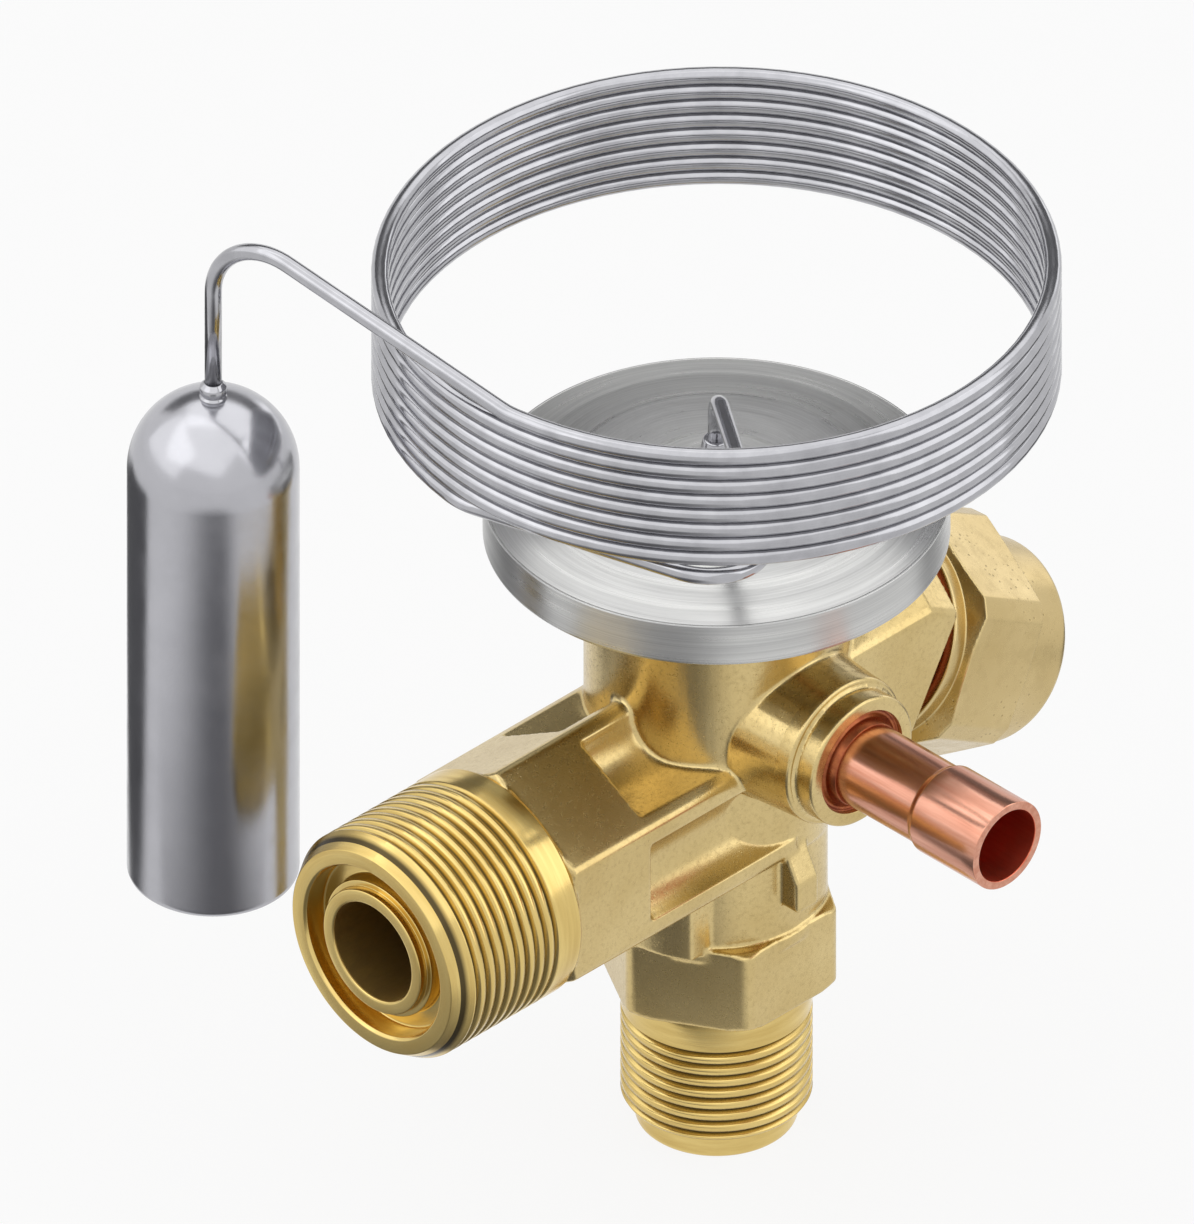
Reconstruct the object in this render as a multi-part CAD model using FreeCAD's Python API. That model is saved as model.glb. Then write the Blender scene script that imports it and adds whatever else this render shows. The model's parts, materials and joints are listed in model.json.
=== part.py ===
import FreeCAD, Part
import math
import os

from FreeCAD import Placement, Rotation, Vector

# Thermostatic expansion valve with external pressure equaliser.
# Millimetres, +Z up. The origin is the centre of the inlet mouth, at the bottom.
# The inlet points down, the outlet along +X and the equaliser tube along +Y.
# The setting spindle lies under its cap on the -X side and slopes down outwards.

# Fits and small edges
running_gap = 0.05
sliding_gap = 0.1
seat_gap = 0.03
overlap = 0.4
edge_break = 0.3
fine_break = 0.2
touching = 0.001
arcs_per_turn = 6

# Main axes
outlet_height = 36.2
equaliser_rise = 7.64
spindle_rise = 14.0
spindle_tilt = 30.0

# Thread ridges, drawn as rings with V grooves between them
groove_pitch = 1.143
groove_depth = 0.5
groove_width = 0.74
groove_floor = 0.2

# Inlet port
inlet_thread_radius = 7.94
inlet_thread_length = 12.1
inlet_nose_step = 1.16
inlet_nose_length = 2.6
inlet_bore_radius = 5.0
inlet_mouth_step = 0.2
inlet_mouth_depth = 4.0
inlet_groove_count = 8
inlet_first_groove = 0.6

# Wrench hexagon at the inlet
inlet_hex_flats = 18.0
inlet_hex_height = 6.8
inlet_hex_corner = 1.2
inlet_hex_shoulder = 1.5
inlet_hex_bevel = 0.9
inlet_hex_bevel_rise = 0.5

# Barrel between the inlet hexagon and the crossing of the axes
barrel_radius = 9.2
pad_radius = 10.5
pad_half_width = 5.8
pad_drop = 13.9
rib_width = 2.6
rib_side = 0.28
rib_drop = 11.5
rib_slope = 1.8
rib_shoulder = 1.2

# Outlet arm, a hexagonal bar with sunk faces near the neck
arm_flats = 18.9
arm_corner = 1.0
arm_length = 25.9
arm_hex_length = 8.9
shelf_rise = 6.15
shelf_fillet = 4.05
ridge_half_width = 1.15
scoop_radius = 4.47
scoop_depth = 2.35

# Outlet port
outlet_reach = 40.3
outlet_thread_radius = 10.32
outlet_thread_lead = 0.15
outlet_face_inset = 1.05
outlet_face_chamfer = 0.95
outlet_groove_count = 9
outlet_first_groove = 2.2
outlet_recess_radius = 7.8
outlet_recess_depth = 3.0
outlet_recess_edge = 0.25
outlet_bore_radius = 4.5
crossing_radius = 5.0
crossing_half_height = 4.5
nozzle_wall = 1.19
nozzle_step = 0.8
nozzle_collar = 0.51

# Neck and its chamber under the element
neck_radius = 11.0
neck_bottom_rise = 4.0
neck_top_rise = 22.5
chamber_radius = 8.0
web_thickness = 2.5

# Equaliser tube, its braze and its boss
tube_radius = 3.64
tube_wall = 0.75
tube_depth = 4.4
cup_flare = 0.36
cup_wall = 0.74
cup_length = 7.4
cup_ramp = 0.5
cup_inner_ramp = 0.4
equaliser_reach = 34.0
equaliser_port_radius = 1.4
braze_width = 1.01
braze_depth = 0.9
braze_height = 1.6
braze_sink = 0.15
braze_crest = 0.35
boss_length = 15.0
boss_draft = 0.5
boss_draft_start = 8.8
boss_lip_step = 0.7
boss_lip_wall = 1.25
boss_lip_length = 2.06

# Spindle block and the nipple under the cap
block_length = 18.7
block_bend = 15.1
nipple_radius = 6.0
nipple_length = 8.3
nipple_chamfer = 0.5
gland_radius = 4.2
gland_depth = 12.0

# Seal cap
gasket_thickness = 1.65
gasket_radius = 8.4
cap_flange_radius = 9.2
cap_flange_length = 1.45
cap_hex_flats = 19.8
cap_hex_bevel = 4.85
cap_hex_turn = -3.7
cap_hex_start = 0.7
cap_hex_length = 7.4
cap_end_radius = 8.75
cap_end_cone = 1.3
cap_length = 15.75
cap_end_wall = 2.6
cap_edge_round = 0.6
cap_edge_share = 0.3
cavity_cone_radius = 1.4
cavity_cone_length = 1.5

# Setting spindle, its thrust ball and its gland
spindle_thread_radius = 2.6
spindle_thread_free = 0.8
spindle_tip_chamfer = 0.6
spindle_tip_length = 0.9
spindle_stem_step = 0.5
spindle_stem_out = 3.6
spindle_key_flats = 3.0
spindle_key_length = 3.2
thread_hole_inset = 3.0
washer_thickness = 0.8
packing_length = 3.4
gland_nut_inset = 0.6
gland_slot = 1.2
gland_slot_depth = 1.4
ball_radius = 1.8
ball_reach = 8.0
ball_cup_share = 0.5

# Push pin, guide and seal
pin_radius = 1.2
pin_step = 0.4
pin_step_rise = 1.0
guide_plug_radius = 3.0
guide_plug_gap = 0.2
guide_flange_radius = 4.2
guide_flange_thickness = 0.8
guide_tube_radius = 2.55
guide_tube_length = 4.2
seal_width = 0.7
seal_thickness = 1.2
retainer_thickness = 0.6

# Spring carrier, main spring and thrust plate
carrier_side_gap = 0.5
carrier_flange_thickness = 1.4
carrier_sleeve_wall = 0.7
carrier_sleeve_length = 2.6
carrier_lip = 0.8
spring_wire_radius = 0.6
spring_mean_radius = 6.1
spring_turns = 3.6
hub_side_gap = 0.8
hub_depth = 2.2
thrust_recess_radius = 10.6
thrust_recess_floor = 0.45
thrust_disc_gap = 0.4
thrust_disc_thickness = 1.0
spigot_side_gap = 0.9
thrust_spigot_length = 1.6

# Orifice assembly in the inlet bore
orifice_side_gap = 0.15
orifice_plug_radius = 3.6
orifice_drop = 10.0
orifice_top_gap = 0.3
orifice_flange_thickness = 1.2
orifice_radius = 1.6
orifice_seat_rise = 0.6
cone_side_gap = 0.4
cone_length = 0.9
cone_base_thickness = 0.4
cone_stem_radius = 1.1
cone_stem_length = 2.2
cage_length = 5.4
cage_wall = 0.9
cage_floor = 0.9
cage_window_count = 6
cage_window_inner = 2.0
cage_window_width = 1.7
cage_window_height = 2.4
cage_window_rise = 0.5
cone_spring_wire_radius = 0.28
cone_spring_mean_radius = 1.75
cone_spring_turns = 4.5

# Strainer under the cage
strainer_side_gap = 0.3
strainer_rim = 1.2
strainer_rim_step = 0.3
strainer_end_radius = 3.4
strainer_wall = 0.35
strainer_length = 14.5
strainer_margin = 1.0
strainer_slot_rows = 4
strainer_slot_columns = 8
strainer_slot_inner = 1.5
strainer_slot_width = 1.1
strainer_slot_height = 2.2

# Thermostatic element
element_radius = 19.34
element_height = 3.95
element_edge = 0.25
element_floor = 2.1
cover_clamp = 0.69
diaphragm_inset = 0.94
diaphragm_side_gap = 0.3
diaphragm_thickness = 0.2
wave_height = 0.35
wave_start = 1.0
wave_margin = 2.8
wave_count = 4
cover_shoulder_inset = 3.14
cover_shoulder_rise = 0.75
cover_plateau_inset = 7.04
cover_plateau_rise = 1.3
cover_plateau_run = 1.2
cover_plateau_sag = 0.12
cover_wall = 0.9
cover_lip = 1.2
cover_lip_rise = 0.4
cover_shoulder_wall = 0.7
dome_radius = 6.8
dome_rise = 1.3
dome_shoulder = 1.2
dome_shoulder_share = 0.55
dome_top_radius = 3.2

# Fitting on the element for the end of the capillary tube
fitting_radius = 1.25
fitting_top_rise = 5.5
fitting_collar_step = 0.5
fitting_collar_length = 0.5
fitting_neck_width = 0.25
fitting_neck_length = 0.9
fitting_tip_length = 0.6
fitting_tip_step = 0.15

# Capillary tube
capillary_radius = 0.72
coil_radius = 27.84
coil_pitch = 1.45
coil_turns = 7.953
coil_end_rise = 11.86
coil_end_angle = -7.22
coil_lead = 1.5
bulb_tail_slope = 0.27
bulb_tail_run = 31.25
bulb_bend_radius = 4.0
lead_bend_radius = 6.0
loop_bend_radius = 5.0
hook_bend_radius = 1.7
leg_rise = 4.15
loop_out = 4.26
loop_bearing = 55.3
loop_rise = 5.35

# Sensing bulb, which hangs from the tube's first run
bulb_radius = 7.15
bulb_length = 48.0
bulb_hang = 10.34
bulb_edge = 0.8
ferrule_wall = 0.4
ferrule_length = 1.5
ferrule_inset = 1.0
ferrule_groove = 0.2
ferrule_groove_middle = 0.3
ferrule_groove_half = 0.17

# Radii that follow from the sizes above
inlet_nose_radius = inlet_thread_radius - inlet_nose_step
inlet_mouth_radius = inlet_bore_radius + inlet_mouth_step
nozzle_radius = outlet_bore_radius + nozzle_wall
nozzle_collar_radius = nozzle_radius + nozzle_collar
cup_radius = tube_radius + cup_flare
cup_bore_radius = cup_radius - cup_wall
braze_radius = tube_radius + braze_width
boss_lip_radius = braze_radius + boss_lip_wall
boss_end_radius = boss_lip_radius + boss_lip_step
boss_root_radius = boss_end_radius + boss_draft
spindle_stem_radius = spindle_thread_radius - spindle_stem_step
seal_radius = pin_radius + seal_width
carrier_bore_radius = guide_tube_radius + sliding_gap
carrier_sleeve_radius = carrier_bore_radius + carrier_sleeve_wall
carrier_flange_radius = chamber_radius - carrier_side_gap
spring_inner_radius = spring_mean_radius - spring_wire_radius
thrust_hub_radius = chamber_radius - hub_side_gap
thrust_disc_radius = thrust_recess_radius - thrust_disc_gap
orifice_flange_radius = inlet_bore_radius - orifice_side_gap
strainer_top_radius = inlet_bore_radius - strainer_side_gap
diaphragm_radius = element_radius - diaphragm_inset
cover_edge_radius = element_radius - cover_clamp
cover_shoulder_radius = element_radius - cover_shoulder_inset
cover_plateau_radius = element_radius - cover_plateau_inset
ferrule_radius = capillary_radius + seat_gap + ferrule_wall

# Heights that follow from the sizes above
thread_bottom = inlet_nose_length
hex_bottom = thread_bottom + inlet_thread_length
barrel_bottom = hex_bottom + inlet_hex_height
spindle_height = outlet_height + spindle_rise
crossing_bottom = outlet_height - crossing_half_height
crossing_top = outlet_height + crossing_half_height
chamber_floor = crossing_top + web_thickness
neck_top = outlet_height + neck_top_rise
orifice_shoulder = outlet_height - orifice_drop
orifice_bottom = orifice_shoulder - orifice_flange_thickness
orifice_edge = orifice_bottom + orifice_seat_rise
cage_bottom = orifice_bottom - cage_length
ball_height = spindle_height - ball_reach * math.sin(math.radians(spindle_tilt))
carrier_bottom = ball_height + ball_radius + seat_gap
carrier_top = carrier_bottom + carrier_flange_thickness
guide_flange_top = chamber_floor + guide_flange_thickness
guide_top = guide_flange_top + guide_tube_length
thrust_hub_bottom = neck_top - hub_depth
diaphragm_height = neck_top + element_floor
element_top = neck_top + element_height
cover_plateau = element_top + cover_plateau_rise
dome_top = cover_plateau + dome_rise
fitting_top = element_top + fitting_top_rise
coil_end = element_top + coil_end_rise
coil_start = coil_end + coil_pitch * coil_turns
coil_start_angle = coil_end_angle - 360 * coil_turns
bulb_top = coil_start - bulb_hang
bulb_bottom = bulb_top - bulb_length

# Places along the setting axis and the equaliser axis
nipple_end = block_length + nipple_length
gland_bottom = nipple_end - gland_depth
spindle_end = nipple_end + spindle_stem_out
cap_start = block_length + gasket_thickness
cap_end = cap_start + cap_length
lip_end = boss_length + boss_lip_length
socket_bottom = lip_end - tube_depth

# The setting axis: its own Z runs outwards along the spindle, its own Y is the part's Y
setting_frame = Placement(Vector(0, 0, spindle_height), Rotation(Vector(0, 1, 0), -90 - spindle_tilt))
outlet_frame = Placement(Vector(0, 0, outlet_height), Rotation(Vector(0, 1, 0), 90))
equaliser_frame = Placement(Vector(0, 0, outlet_height + equaliser_rise), Rotation(Vector(1, 0, 0), -90))

Z = Vector(0, 0, 1)


def disc(radius, bottom, top):
    """A plain round bar along Z."""
    return Part.makeCylinder(radius, top - bottom, Vector(0, 0, bottom))


def ring(outer, inner, bottom, top):
    """A round bar with a round hole."""
    return disc(outer, bottom, top).cut(disc(inner, bottom - overlap, top + overlap))


def box(low, high):
    """A block between two corners."""
    size = high - low
    return Part.makeBox(size.x, size.y, size.z, low)


def placed(shape, frame):
    """A copy of a shape that was drawn along Z, moved to its own axis."""
    moved = shape.copy()
    moved.Placement = frame.multiply(shape.Placement)
    return moved


def turned(profile):
    """A solid of revolution about Z from a closed outline of radius and height pairs."""
    points = [Vector(radius, 0, height) for radius, height in profile]
    outline = Part.makePolygon(points + [points[0]])
    return Part.Face(outline).revolve(Vector(0, 0, 0), Z, 360)


def corner_arc(before, corner, after, radius):
    """Start, middle and end of the arc that rounds a corner."""
    back = (before - corner).normalize()
    ahead = (after - corner).normalize()
    half = back.getAngle(ahead) / 2
    inwards = (back + ahead).normalize()
    centre = corner + inwards * (radius / math.sin(half))
    setback = radius / math.tan(half)
    return corner + back * setback, centre - inwards * radius, corner + ahead * setback


def rounded_path(points, radii):
    """Lines through the points, with an arc of the given radius at each inner one."""
    edges = []
    start = points[0]
    for before, corner, after, radius in zip(points, points[1:], points[2:], radii):
        first, middle, last = corner_arc(before, corner, after, radius)
        if start.distanceToPoint(first) > touching:
            edges.append(Part.makeLine(start, first))
        edges.append(Part.Arc(first, middle, last).toShape())
        start = last
    if start.distanceToPoint(points[-1]) > touching:
        edges.append(Part.makeLine(start, points[-1]))
    return edges


def bearing(angle, distance, height):
    """A point at a plan angle and distance from the valve's axis."""
    turn = math.radians(angle)
    return Vector(distance * math.cos(turn), distance * math.sin(turn), height)


def winding(radius, rise, turns, angle, height):
    """A helix, as the corners of a polygon about it and the radius that rounds them into each other.

    The helix runs from the middle of the polygon's first side to the middle of its last.
    """
    count = math.ceil(turns * arcs_per_turn)
    reach = radius / math.cos(math.pi * turns / count)
    corners = []
    for place in range(-1, count + 1):
        share = (place + 0.5) / count
        corners.append(bearing(angle + 360 * turns * share, reach, height + rise * share))
    back = corners[0] - corners[1]
    ahead = corners[2] - corners[1]
    bend = back.Length / 2 * math.tan(back.getAngle(ahead) / 2)
    return corners, bend


def rounded_polygon(points, radius):
    """A face with rounded corners."""
    middle = (points[-1] + points[0]) * 0.5
    ring_points = [middle] + points + [middle]
    edges = rounded_path(ring_points, [radius] * len(points))
    return Part.Face(Part.Wire(edges))


def hexagon(flats, first_angle):
    """Corners of a hexagon about Z."""
    reach = flats / 2 / math.cos(math.pi / 6)
    angles = [math.radians(first_angle + 60 * step) for step in range(6)]
    return [Vector(reach * math.cos(angle), reach * math.sin(angle), 0) for angle in angles]


def hexagonal_bar(flats, corner, first_angle, bottom, top):
    """A hexagonal bar along Z with rounded edges."""
    face = rounded_polygon(hexagon(flats, first_angle), corner)
    face.translate(Vector(0, 0, bottom))
    return face.extrude(Vector(0, 0, top - bottom))


def thread_grooves(radius, first, count):
    """Rings with a V section, set at the thread's pitch along Z."""
    grooves = []
    for step in range(count):
        height = first + step * groove_pitch
        root = radius - groove_depth
        proud = radius + overlap
        half = groove_width / 2 * (1 + overlap / groove_depth)
        foot = groove_floor / 2
        below = [(root, height - foot), (proud, height - half)]
        above = [(proud, height + half), (root, height + foot)]
        grooves.append(turned(below + above))
    return Part.makeCompound(grooves)


def tube_along(edges, radius):
    """A round bar along lines and arcs that run into each other."""
    first = edges[0]
    rim = Part.makeCircle(radius, first.valueAt(first.FirstParameter), first.tangentAt(first.FirstParameter))
    faces = [Part.Face(Part.Wire(rim))]
    for edge in edges:
        if isinstance(edge.Curve, Part.Line):
            run = edge.valueAt(edge.LastParameter) - edge.valueAt(edge.FirstParameter)
            faces.append(rim.extrude(run))
            rim = rim.translated(run)
        else:
            turn = math.degrees(edge.LastParameter - edge.FirstParameter)
            faces.append(rim.revolve(edge.Curve.Center, edge.Curve.Axis, turn))
            rim = rim.rotated(edge.Curve.Center, edge.Curve.Axis, turn)
    faces.append(Part.Face(Part.Wire(rim)))
    shell = Part.makeShell(faces)
    shell.sewShape()
    return Part.makeSolid(shell)


def coil_spring(mean_radius, wire_radius, bottom, top, turns):
    """A spring of round wire that fills the height between its two seats."""
    rise = top - bottom - 2 * wire_radius
    corners, bend = winding(mean_radius, rise, turns, 0, bottom + wire_radius)
    start = (corners[0] + corners[1]) * 0.5
    end = (corners[-2] + corners[-1]) * 0.5
    inner = corners[1:-1]
    return tube_along(rounded_path([start] + inner + [end], [bend] * len(inner)), wire_radius)


def inlet_end():
    """Nose, thread and wrench hexagon at the bottom of the forging."""
    nose = [
        (0, 0),
        (inlet_nose_radius - edge_break, 0),
        (inlet_nose_radius, edge_break),
        (inlet_nose_radius, thread_bottom),
        (inlet_thread_radius - fine_break, thread_bottom),
        (inlet_thread_radius, thread_bottom + fine_break),
        (inlet_thread_radius, hex_bottom + overlap),
        (0, hex_bottom + overlap),
    ]
    first = thread_bottom + inlet_first_groove
    threaded = turned(nose).cut(thread_grooves(inlet_thread_radius, first, inlet_groove_count))
    shoulder_top = barrel_bottom + inlet_hex_shoulder
    corner_reach = inlet_hex_flats / 2 / math.cos(math.pi / 6)
    bar = hexagonal_bar(inlet_hex_flats, inlet_hex_corner, 0, hex_bottom, shoulder_top)
    turned_limits = [
        (0, hex_bottom),
        (corner_reach - inlet_hex_bevel, hex_bottom),
        (corner_reach, hex_bottom + inlet_hex_bevel_rise),
        (corner_reach, shoulder_top - inlet_hex_bevel),
        (barrel_radius - overlap, shoulder_top),
        (0, shoulder_top),
    ]
    return threaded.fuse(bar.common(turned(turned_limits)))


def lower_barrel():
    """Round barrel with the pad under the arm and the rib below the equaliser."""
    barrel = disc(barrel_radius, barrel_bottom, outlet_height + neck_bottom_rise + overlap)
    pad_bottom = outlet_height - pad_drop
    pad = disc(pad_radius, pad_bottom, outlet_height)
    low = Vector(0, -pad_half_width, pad_bottom)
    high = Vector(pad_radius + overlap, pad_half_width, outlet_height)
    pad = pad.common(box(low, high))
    flank = arm_flats / 2
    edge_drop = flank * math.tan(math.pi / 6)
    rib_points = [
        Vector(rib_side, 0, outlet_height),
        Vector(rib_side, flank - rib_shoulder, outlet_height - edge_drop + overlap),
        Vector(rib_side, flank, outlet_height - edge_drop - rib_slope + overlap),
        Vector(rib_side, flank, outlet_height - rib_drop),
        Vector(rib_side, 0, outlet_height - rib_drop),
    ]
    rib_face = Part.Face(Part.makePolygon(rib_points + [rib_points[0]]))
    rib = rib_face.extrude(Vector(-rib_width, 0, 0))
    return barrel.multiFuse([pad, rib])


def outlet_arm():
    """Hexagonal arm along +X. Its faces are sunk between the neck and the wrench length."""
    arm = placed(hexagonal_bar(arm_flats, arm_corner, 0, 0, arm_length), outlet_frame)
    sunk_length = arm_length - arm_hex_length
    flank = arm_flats / 2
    centre_y = ridge_half_width + shelf_fillet
    start = Vector(0, ridge_half_width, shelf_rise + shelf_fillet)
    bend = math.sin(math.pi / 4) * shelf_fillet
    middle = Vector(0, centre_y - bend, shelf_rise + shelf_fillet - bend)
    end = Vector(0, centre_y, shelf_rise)
    clear = flank / math.cos(math.pi / 6) + overlap
    corner_low = Vector(0, clear, shelf_rise)
    corner_high = Vector(0, clear, clear)
    corner_top = Vector(0, ridge_half_width, clear)
    curve = Part.Arc(start, middle, end).toShape()
    rest = Part.makePolygon([end, corner_low, corner_high, corner_top, start])
    shelf = Part.Face(Part.Wire([curve] + rest.Edges)).extrude(Vector(sunk_length, 0, 0))
    shelf.translate(Vector(0, 0, outlet_height))
    scoop_offset = flank - scoop_depth + scoop_radius
    scoop_start = Vector(0, scoop_offset, outlet_height)
    scoop = Part.makeCylinder(scoop_radius, sunk_length, scoop_start, Vector(1, 0, 0))
    cutters = []
    for cutter in (shelf, scoop):
        cutters.append(cutter)
        cutters.append(cutter.mirror(Vector(0, 0, 0), Vector(0, 1, 0)))
    return arm.cut(cutters)


def outlet_end():
    """Threaded collar at the end of the arm, drawn along Z and laid along +X."""
    start = arm_length
    front = outlet_reach
    chamfer_start = front - outlet_face_chamfer
    profile = [
        (0, start),
        (outlet_thread_radius - outlet_thread_lead, start),
        (outlet_thread_radius, start + outlet_thread_lead),
        (outlet_thread_radius, chamfer_start),
        (outlet_thread_radius - outlet_face_inset, front),
        (0, front),
    ]
    last_groove = front - outlet_first_groove - (outlet_groove_count - 1) * groove_pitch
    collar = turned(profile).cut(thread_grooves(outlet_thread_radius, last_groove, outlet_groove_count))
    recess = [
        (nozzle_radius, front + overlap),
        (nozzle_radius, front - nozzle_step),
        (nozzle_collar_radius, front - nozzle_step),
        (nozzle_collar_radius, front - outlet_recess_depth),
        (outlet_recess_radius, front - outlet_recess_depth),
        (outlet_recess_radius, front - outlet_recess_edge),
        (outlet_recess_radius + outlet_recess_edge, front),
        (outlet_recess_radius + outlet_recess_edge, front + overlap),
    ]
    return placed(collar.cut(turned(recess)), outlet_frame)


def equaliser_boss():
    """Drafted boss along +Y with a lip round the tube."""
    profile = [
        (0, 0),
        (boss_root_radius, 0),
        (boss_root_radius, boss_draft_start),
        (boss_end_radius, boss_length - edge_break),
        (boss_end_radius - edge_break, boss_length),
        (boss_lip_radius, boss_length),
        (boss_lip_radius, lip_end - edge_break),
        (boss_lip_radius - edge_break, lip_end),
        (0, lip_end),
    ]
    return placed(turned(profile), equaliser_frame)


def spindle_block():
    """Sloping hexagonal block that turns level towards the neck, with the cap's nipple."""
    end = hexagonal_bar(arm_flats, arm_corner, 0, block_bend, block_length)
    level = rounded_polygon(hexagon(arm_flats, 0), arm_corner)
    level.translate(Vector(0, 0, block_bend))
    level = placed(level, setting_frame)
    reach = block_bend * math.cos(math.radians(spindle_tilt))
    body = level.extrude(Vector(reach, 0, 0))
    nipple = turned([
        (0, block_bend),
        (nipple_radius, block_bend),
        (nipple_radius, nipple_end - nipple_chamfer),
        (nipple_radius - nipple_chamfer, nipple_end),
        (0, nipple_end),
    ])
    return [placed(end, setting_frame), body, placed(nipple, setting_frame)]


def body_passages():
    """Everything that is bored out of the forging."""
    inlet = turned([
        (0, -overlap),
        (inlet_mouth_radius, -overlap),
        (inlet_mouth_radius, inlet_mouth_depth),
        (inlet_bore_radius, inlet_mouth_depth),
        (inlet_bore_radius, orifice_shoulder),
        (orifice_plug_radius, orifice_shoulder),
        (orifice_plug_radius, outlet_height),
        (0, outlet_height),
    ])
    outlet = placed(disc(outlet_bore_radius, 0, outlet_reach + overlap), outlet_frame)
    crossing = disc(crossing_radius, crossing_bottom, crossing_top)
    guide_hole = disc(guide_plug_radius, outlet_height, chamber_floor + overlap)
    chamber = disc(chamber_radius, chamber_floor, neck_top + overlap)
    tube_hole = placed(disc(tube_radius + seat_gap, socket_bottom, equaliser_reach), equaliser_frame)
    braze_hole = placed(disc(braze_radius, lip_end - braze_depth, equaliser_reach), equaliser_frame)
    port = placed(disc(equaliser_port_radius, 0, socket_bottom + overlap), equaliser_frame)
    port = port.cut(disc(chamber_radius - overlap, 0, chamber_floor))
    thread_hole = disc(spindle_thread_radius + running_gap, ball_reach - thread_hole_inset, block_length)
    gland_hole = disc(gland_radius, gland_bottom, nipple_end + overlap)
    setting_holes = [placed(thread_hole, setting_frame), placed(gland_hole, setting_frame)]
    return [inlet, outlet, crossing, guide_hole, chamber, tube_hole, braze_hole, port] + setting_holes


def valve_body():
    neck = disc(neck_radius, outlet_height + neck_bottom_rise, neck_top)
    pieces = [lower_barrel(), outlet_arm(), outlet_end(), neck, equaliser_boss()] + spindle_block()
    outside = inlet_end().multiFuse(pieces)
    return outside.cut(body_passages()).removeSplitter()


def cap_gasket():
    inner = nipple_radius + sliding_gap
    return placed(ring(gasket_radius, inner, block_length, cap_start), setting_frame)


def seal_cap():
    """Hexagonal blind cap with bevelled corners, a flange and a round end."""
    hex_start = cap_start + cap_flange_length
    hex_low = hex_start + cap_hex_start
    hex_high = hex_low + cap_hex_length
    corner_reach = cap_hex_flats / 2 / math.cos(math.radians(30 - cap_hex_bevel))
    corners = []
    for step in range(6):
        for side in (-cap_hex_bevel, cap_hex_bevel):
            angle = math.radians(cap_hex_turn + 60 * step + side)
            corners.append(Vector(corner_reach * math.cos(angle), corner_reach * math.sin(angle), hex_start))
    hex_bar = Part.Face(Part.makePolygon(corners + [corners[0]])).extrude(Vector(0, 0, cap_end - hex_start))
    edge = cap_edge_round * cap_edge_share
    limits = turned([
        (0, hex_start),
        (cap_flange_radius, hex_start),
        (corner_reach, hex_low),
        (corner_reach, hex_high),
        (cap_end_radius, hex_high + cap_end_cone),
        (cap_end_radius, cap_end - cap_edge_round),
        (cap_end_radius - edge, cap_end - edge),
        (cap_end_radius - cap_edge_round, cap_end),
        (0, cap_end),
    ])
    outside = disc(cap_flange_radius, cap_start, hex_start + running_gap).fuse(hex_bar.common(limits))
    cavity_radius = nipple_radius + sliding_gap
    cavity_end = cap_end - cap_end_wall
    cavity = turned([
        (0, cap_start - overlap),
        (cavity_radius, cap_start - overlap),
        (cavity_radius, cavity_end - cavity_cone_length),
        (cavity_radius - cavity_cone_radius, cavity_end),
        (0, cavity_end),
    ])
    return placed(outside.cut(cavity).removeSplitter(), setting_frame)


def thrust_ball():
    ball = Part.makeSphere(ball_radius, Vector(0, 0, ball_reach))
    return placed(ball, setting_frame)


def setting_spindle():
    """Threaded spindle with a plain stem, a square key end and a cupped tip on the ball."""
    tip = ball_reach + ball_radius * ball_cup_share
    thread_end = gland_bottom - spindle_thread_free
    spindle = turned([
        (0, tip),
        (spindle_thread_radius - spindle_tip_chamfer, tip),
        (spindle_thread_radius, tip + spindle_tip_length),
        (spindle_thread_radius, thread_end),
        (spindle_stem_radius, thread_end),
        (spindle_stem_radius, spindle_end - edge_break),
        (spindle_stem_radius - edge_break, spindle_end),
        (0, spindle_end),
    ])
    cup = Part.makeSphere(ball_radius + seat_gap, Vector(0, 0, ball_reach))
    key_start = spindle_end - spindle_key_length
    half = spindle_key_flats / 2
    wide = spindle_stem_radius + overlap
    key = box(Vector(-wide, -wide, key_start), Vector(wide, wide, spindle_end + overlap))
    square = box(Vector(-half, -half, key_start - overlap), Vector(half, half, spindle_end + 2 * overlap))
    return placed(spindle.cut([cup, key.cut(square)]), setting_frame)


def packing_washer():
    inner = spindle_stem_radius + running_gap
    top = gland_bottom + washer_thickness
    return placed(ring(gland_radius - seat_gap, inner, gland_bottom, top), setting_frame)


def spindle_packing():
    start = gland_bottom + washer_thickness
    inner = spindle_stem_radius + seat_gap
    return placed(ring(gland_radius - seat_gap, inner, start, start + packing_length), setting_frame)


def gland_nut():
    """Slotted nut that presses the packing, screwed inside the nipple."""
    start = gland_bottom + washer_thickness + packing_length
    end = nipple_end - gland_nut_inset
    nut = ring(gland_radius - seat_gap, spindle_stem_radius + running_gap, start, end)
    half = gland_slot / 2
    slot = box(Vector(-half, -gland_radius, end - gland_slot_depth), Vector(half, gland_radius, nipple_end))
    return placed(nut.cut(slot), setting_frame)


def spring_carrier():
    """Flanged sleeve that the ball lifts and the guide tube steers."""
    bottom = carrier_bottom - carrier_sleeve_length
    bore = carrier_bore_radius
    sleeve = ring(carrier_sleeve_radius, bore, bottom, carrier_top)
    flange = ring(carrier_flange_radius, bore, carrier_bottom, carrier_top)
    lip = ring(spring_inner_radius - sliding_gap, bore, carrier_bottom, carrier_top + carrier_lip)
    return sleeve.multiFuse([flange, lip]).removeSplitter()


def superheat_spring():
    start = carrier_top + seat_gap
    end = thrust_hub_bottom - seat_gap
    return coil_spring(spring_mean_radius, spring_wire_radius, start, end, spring_turns)


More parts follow.
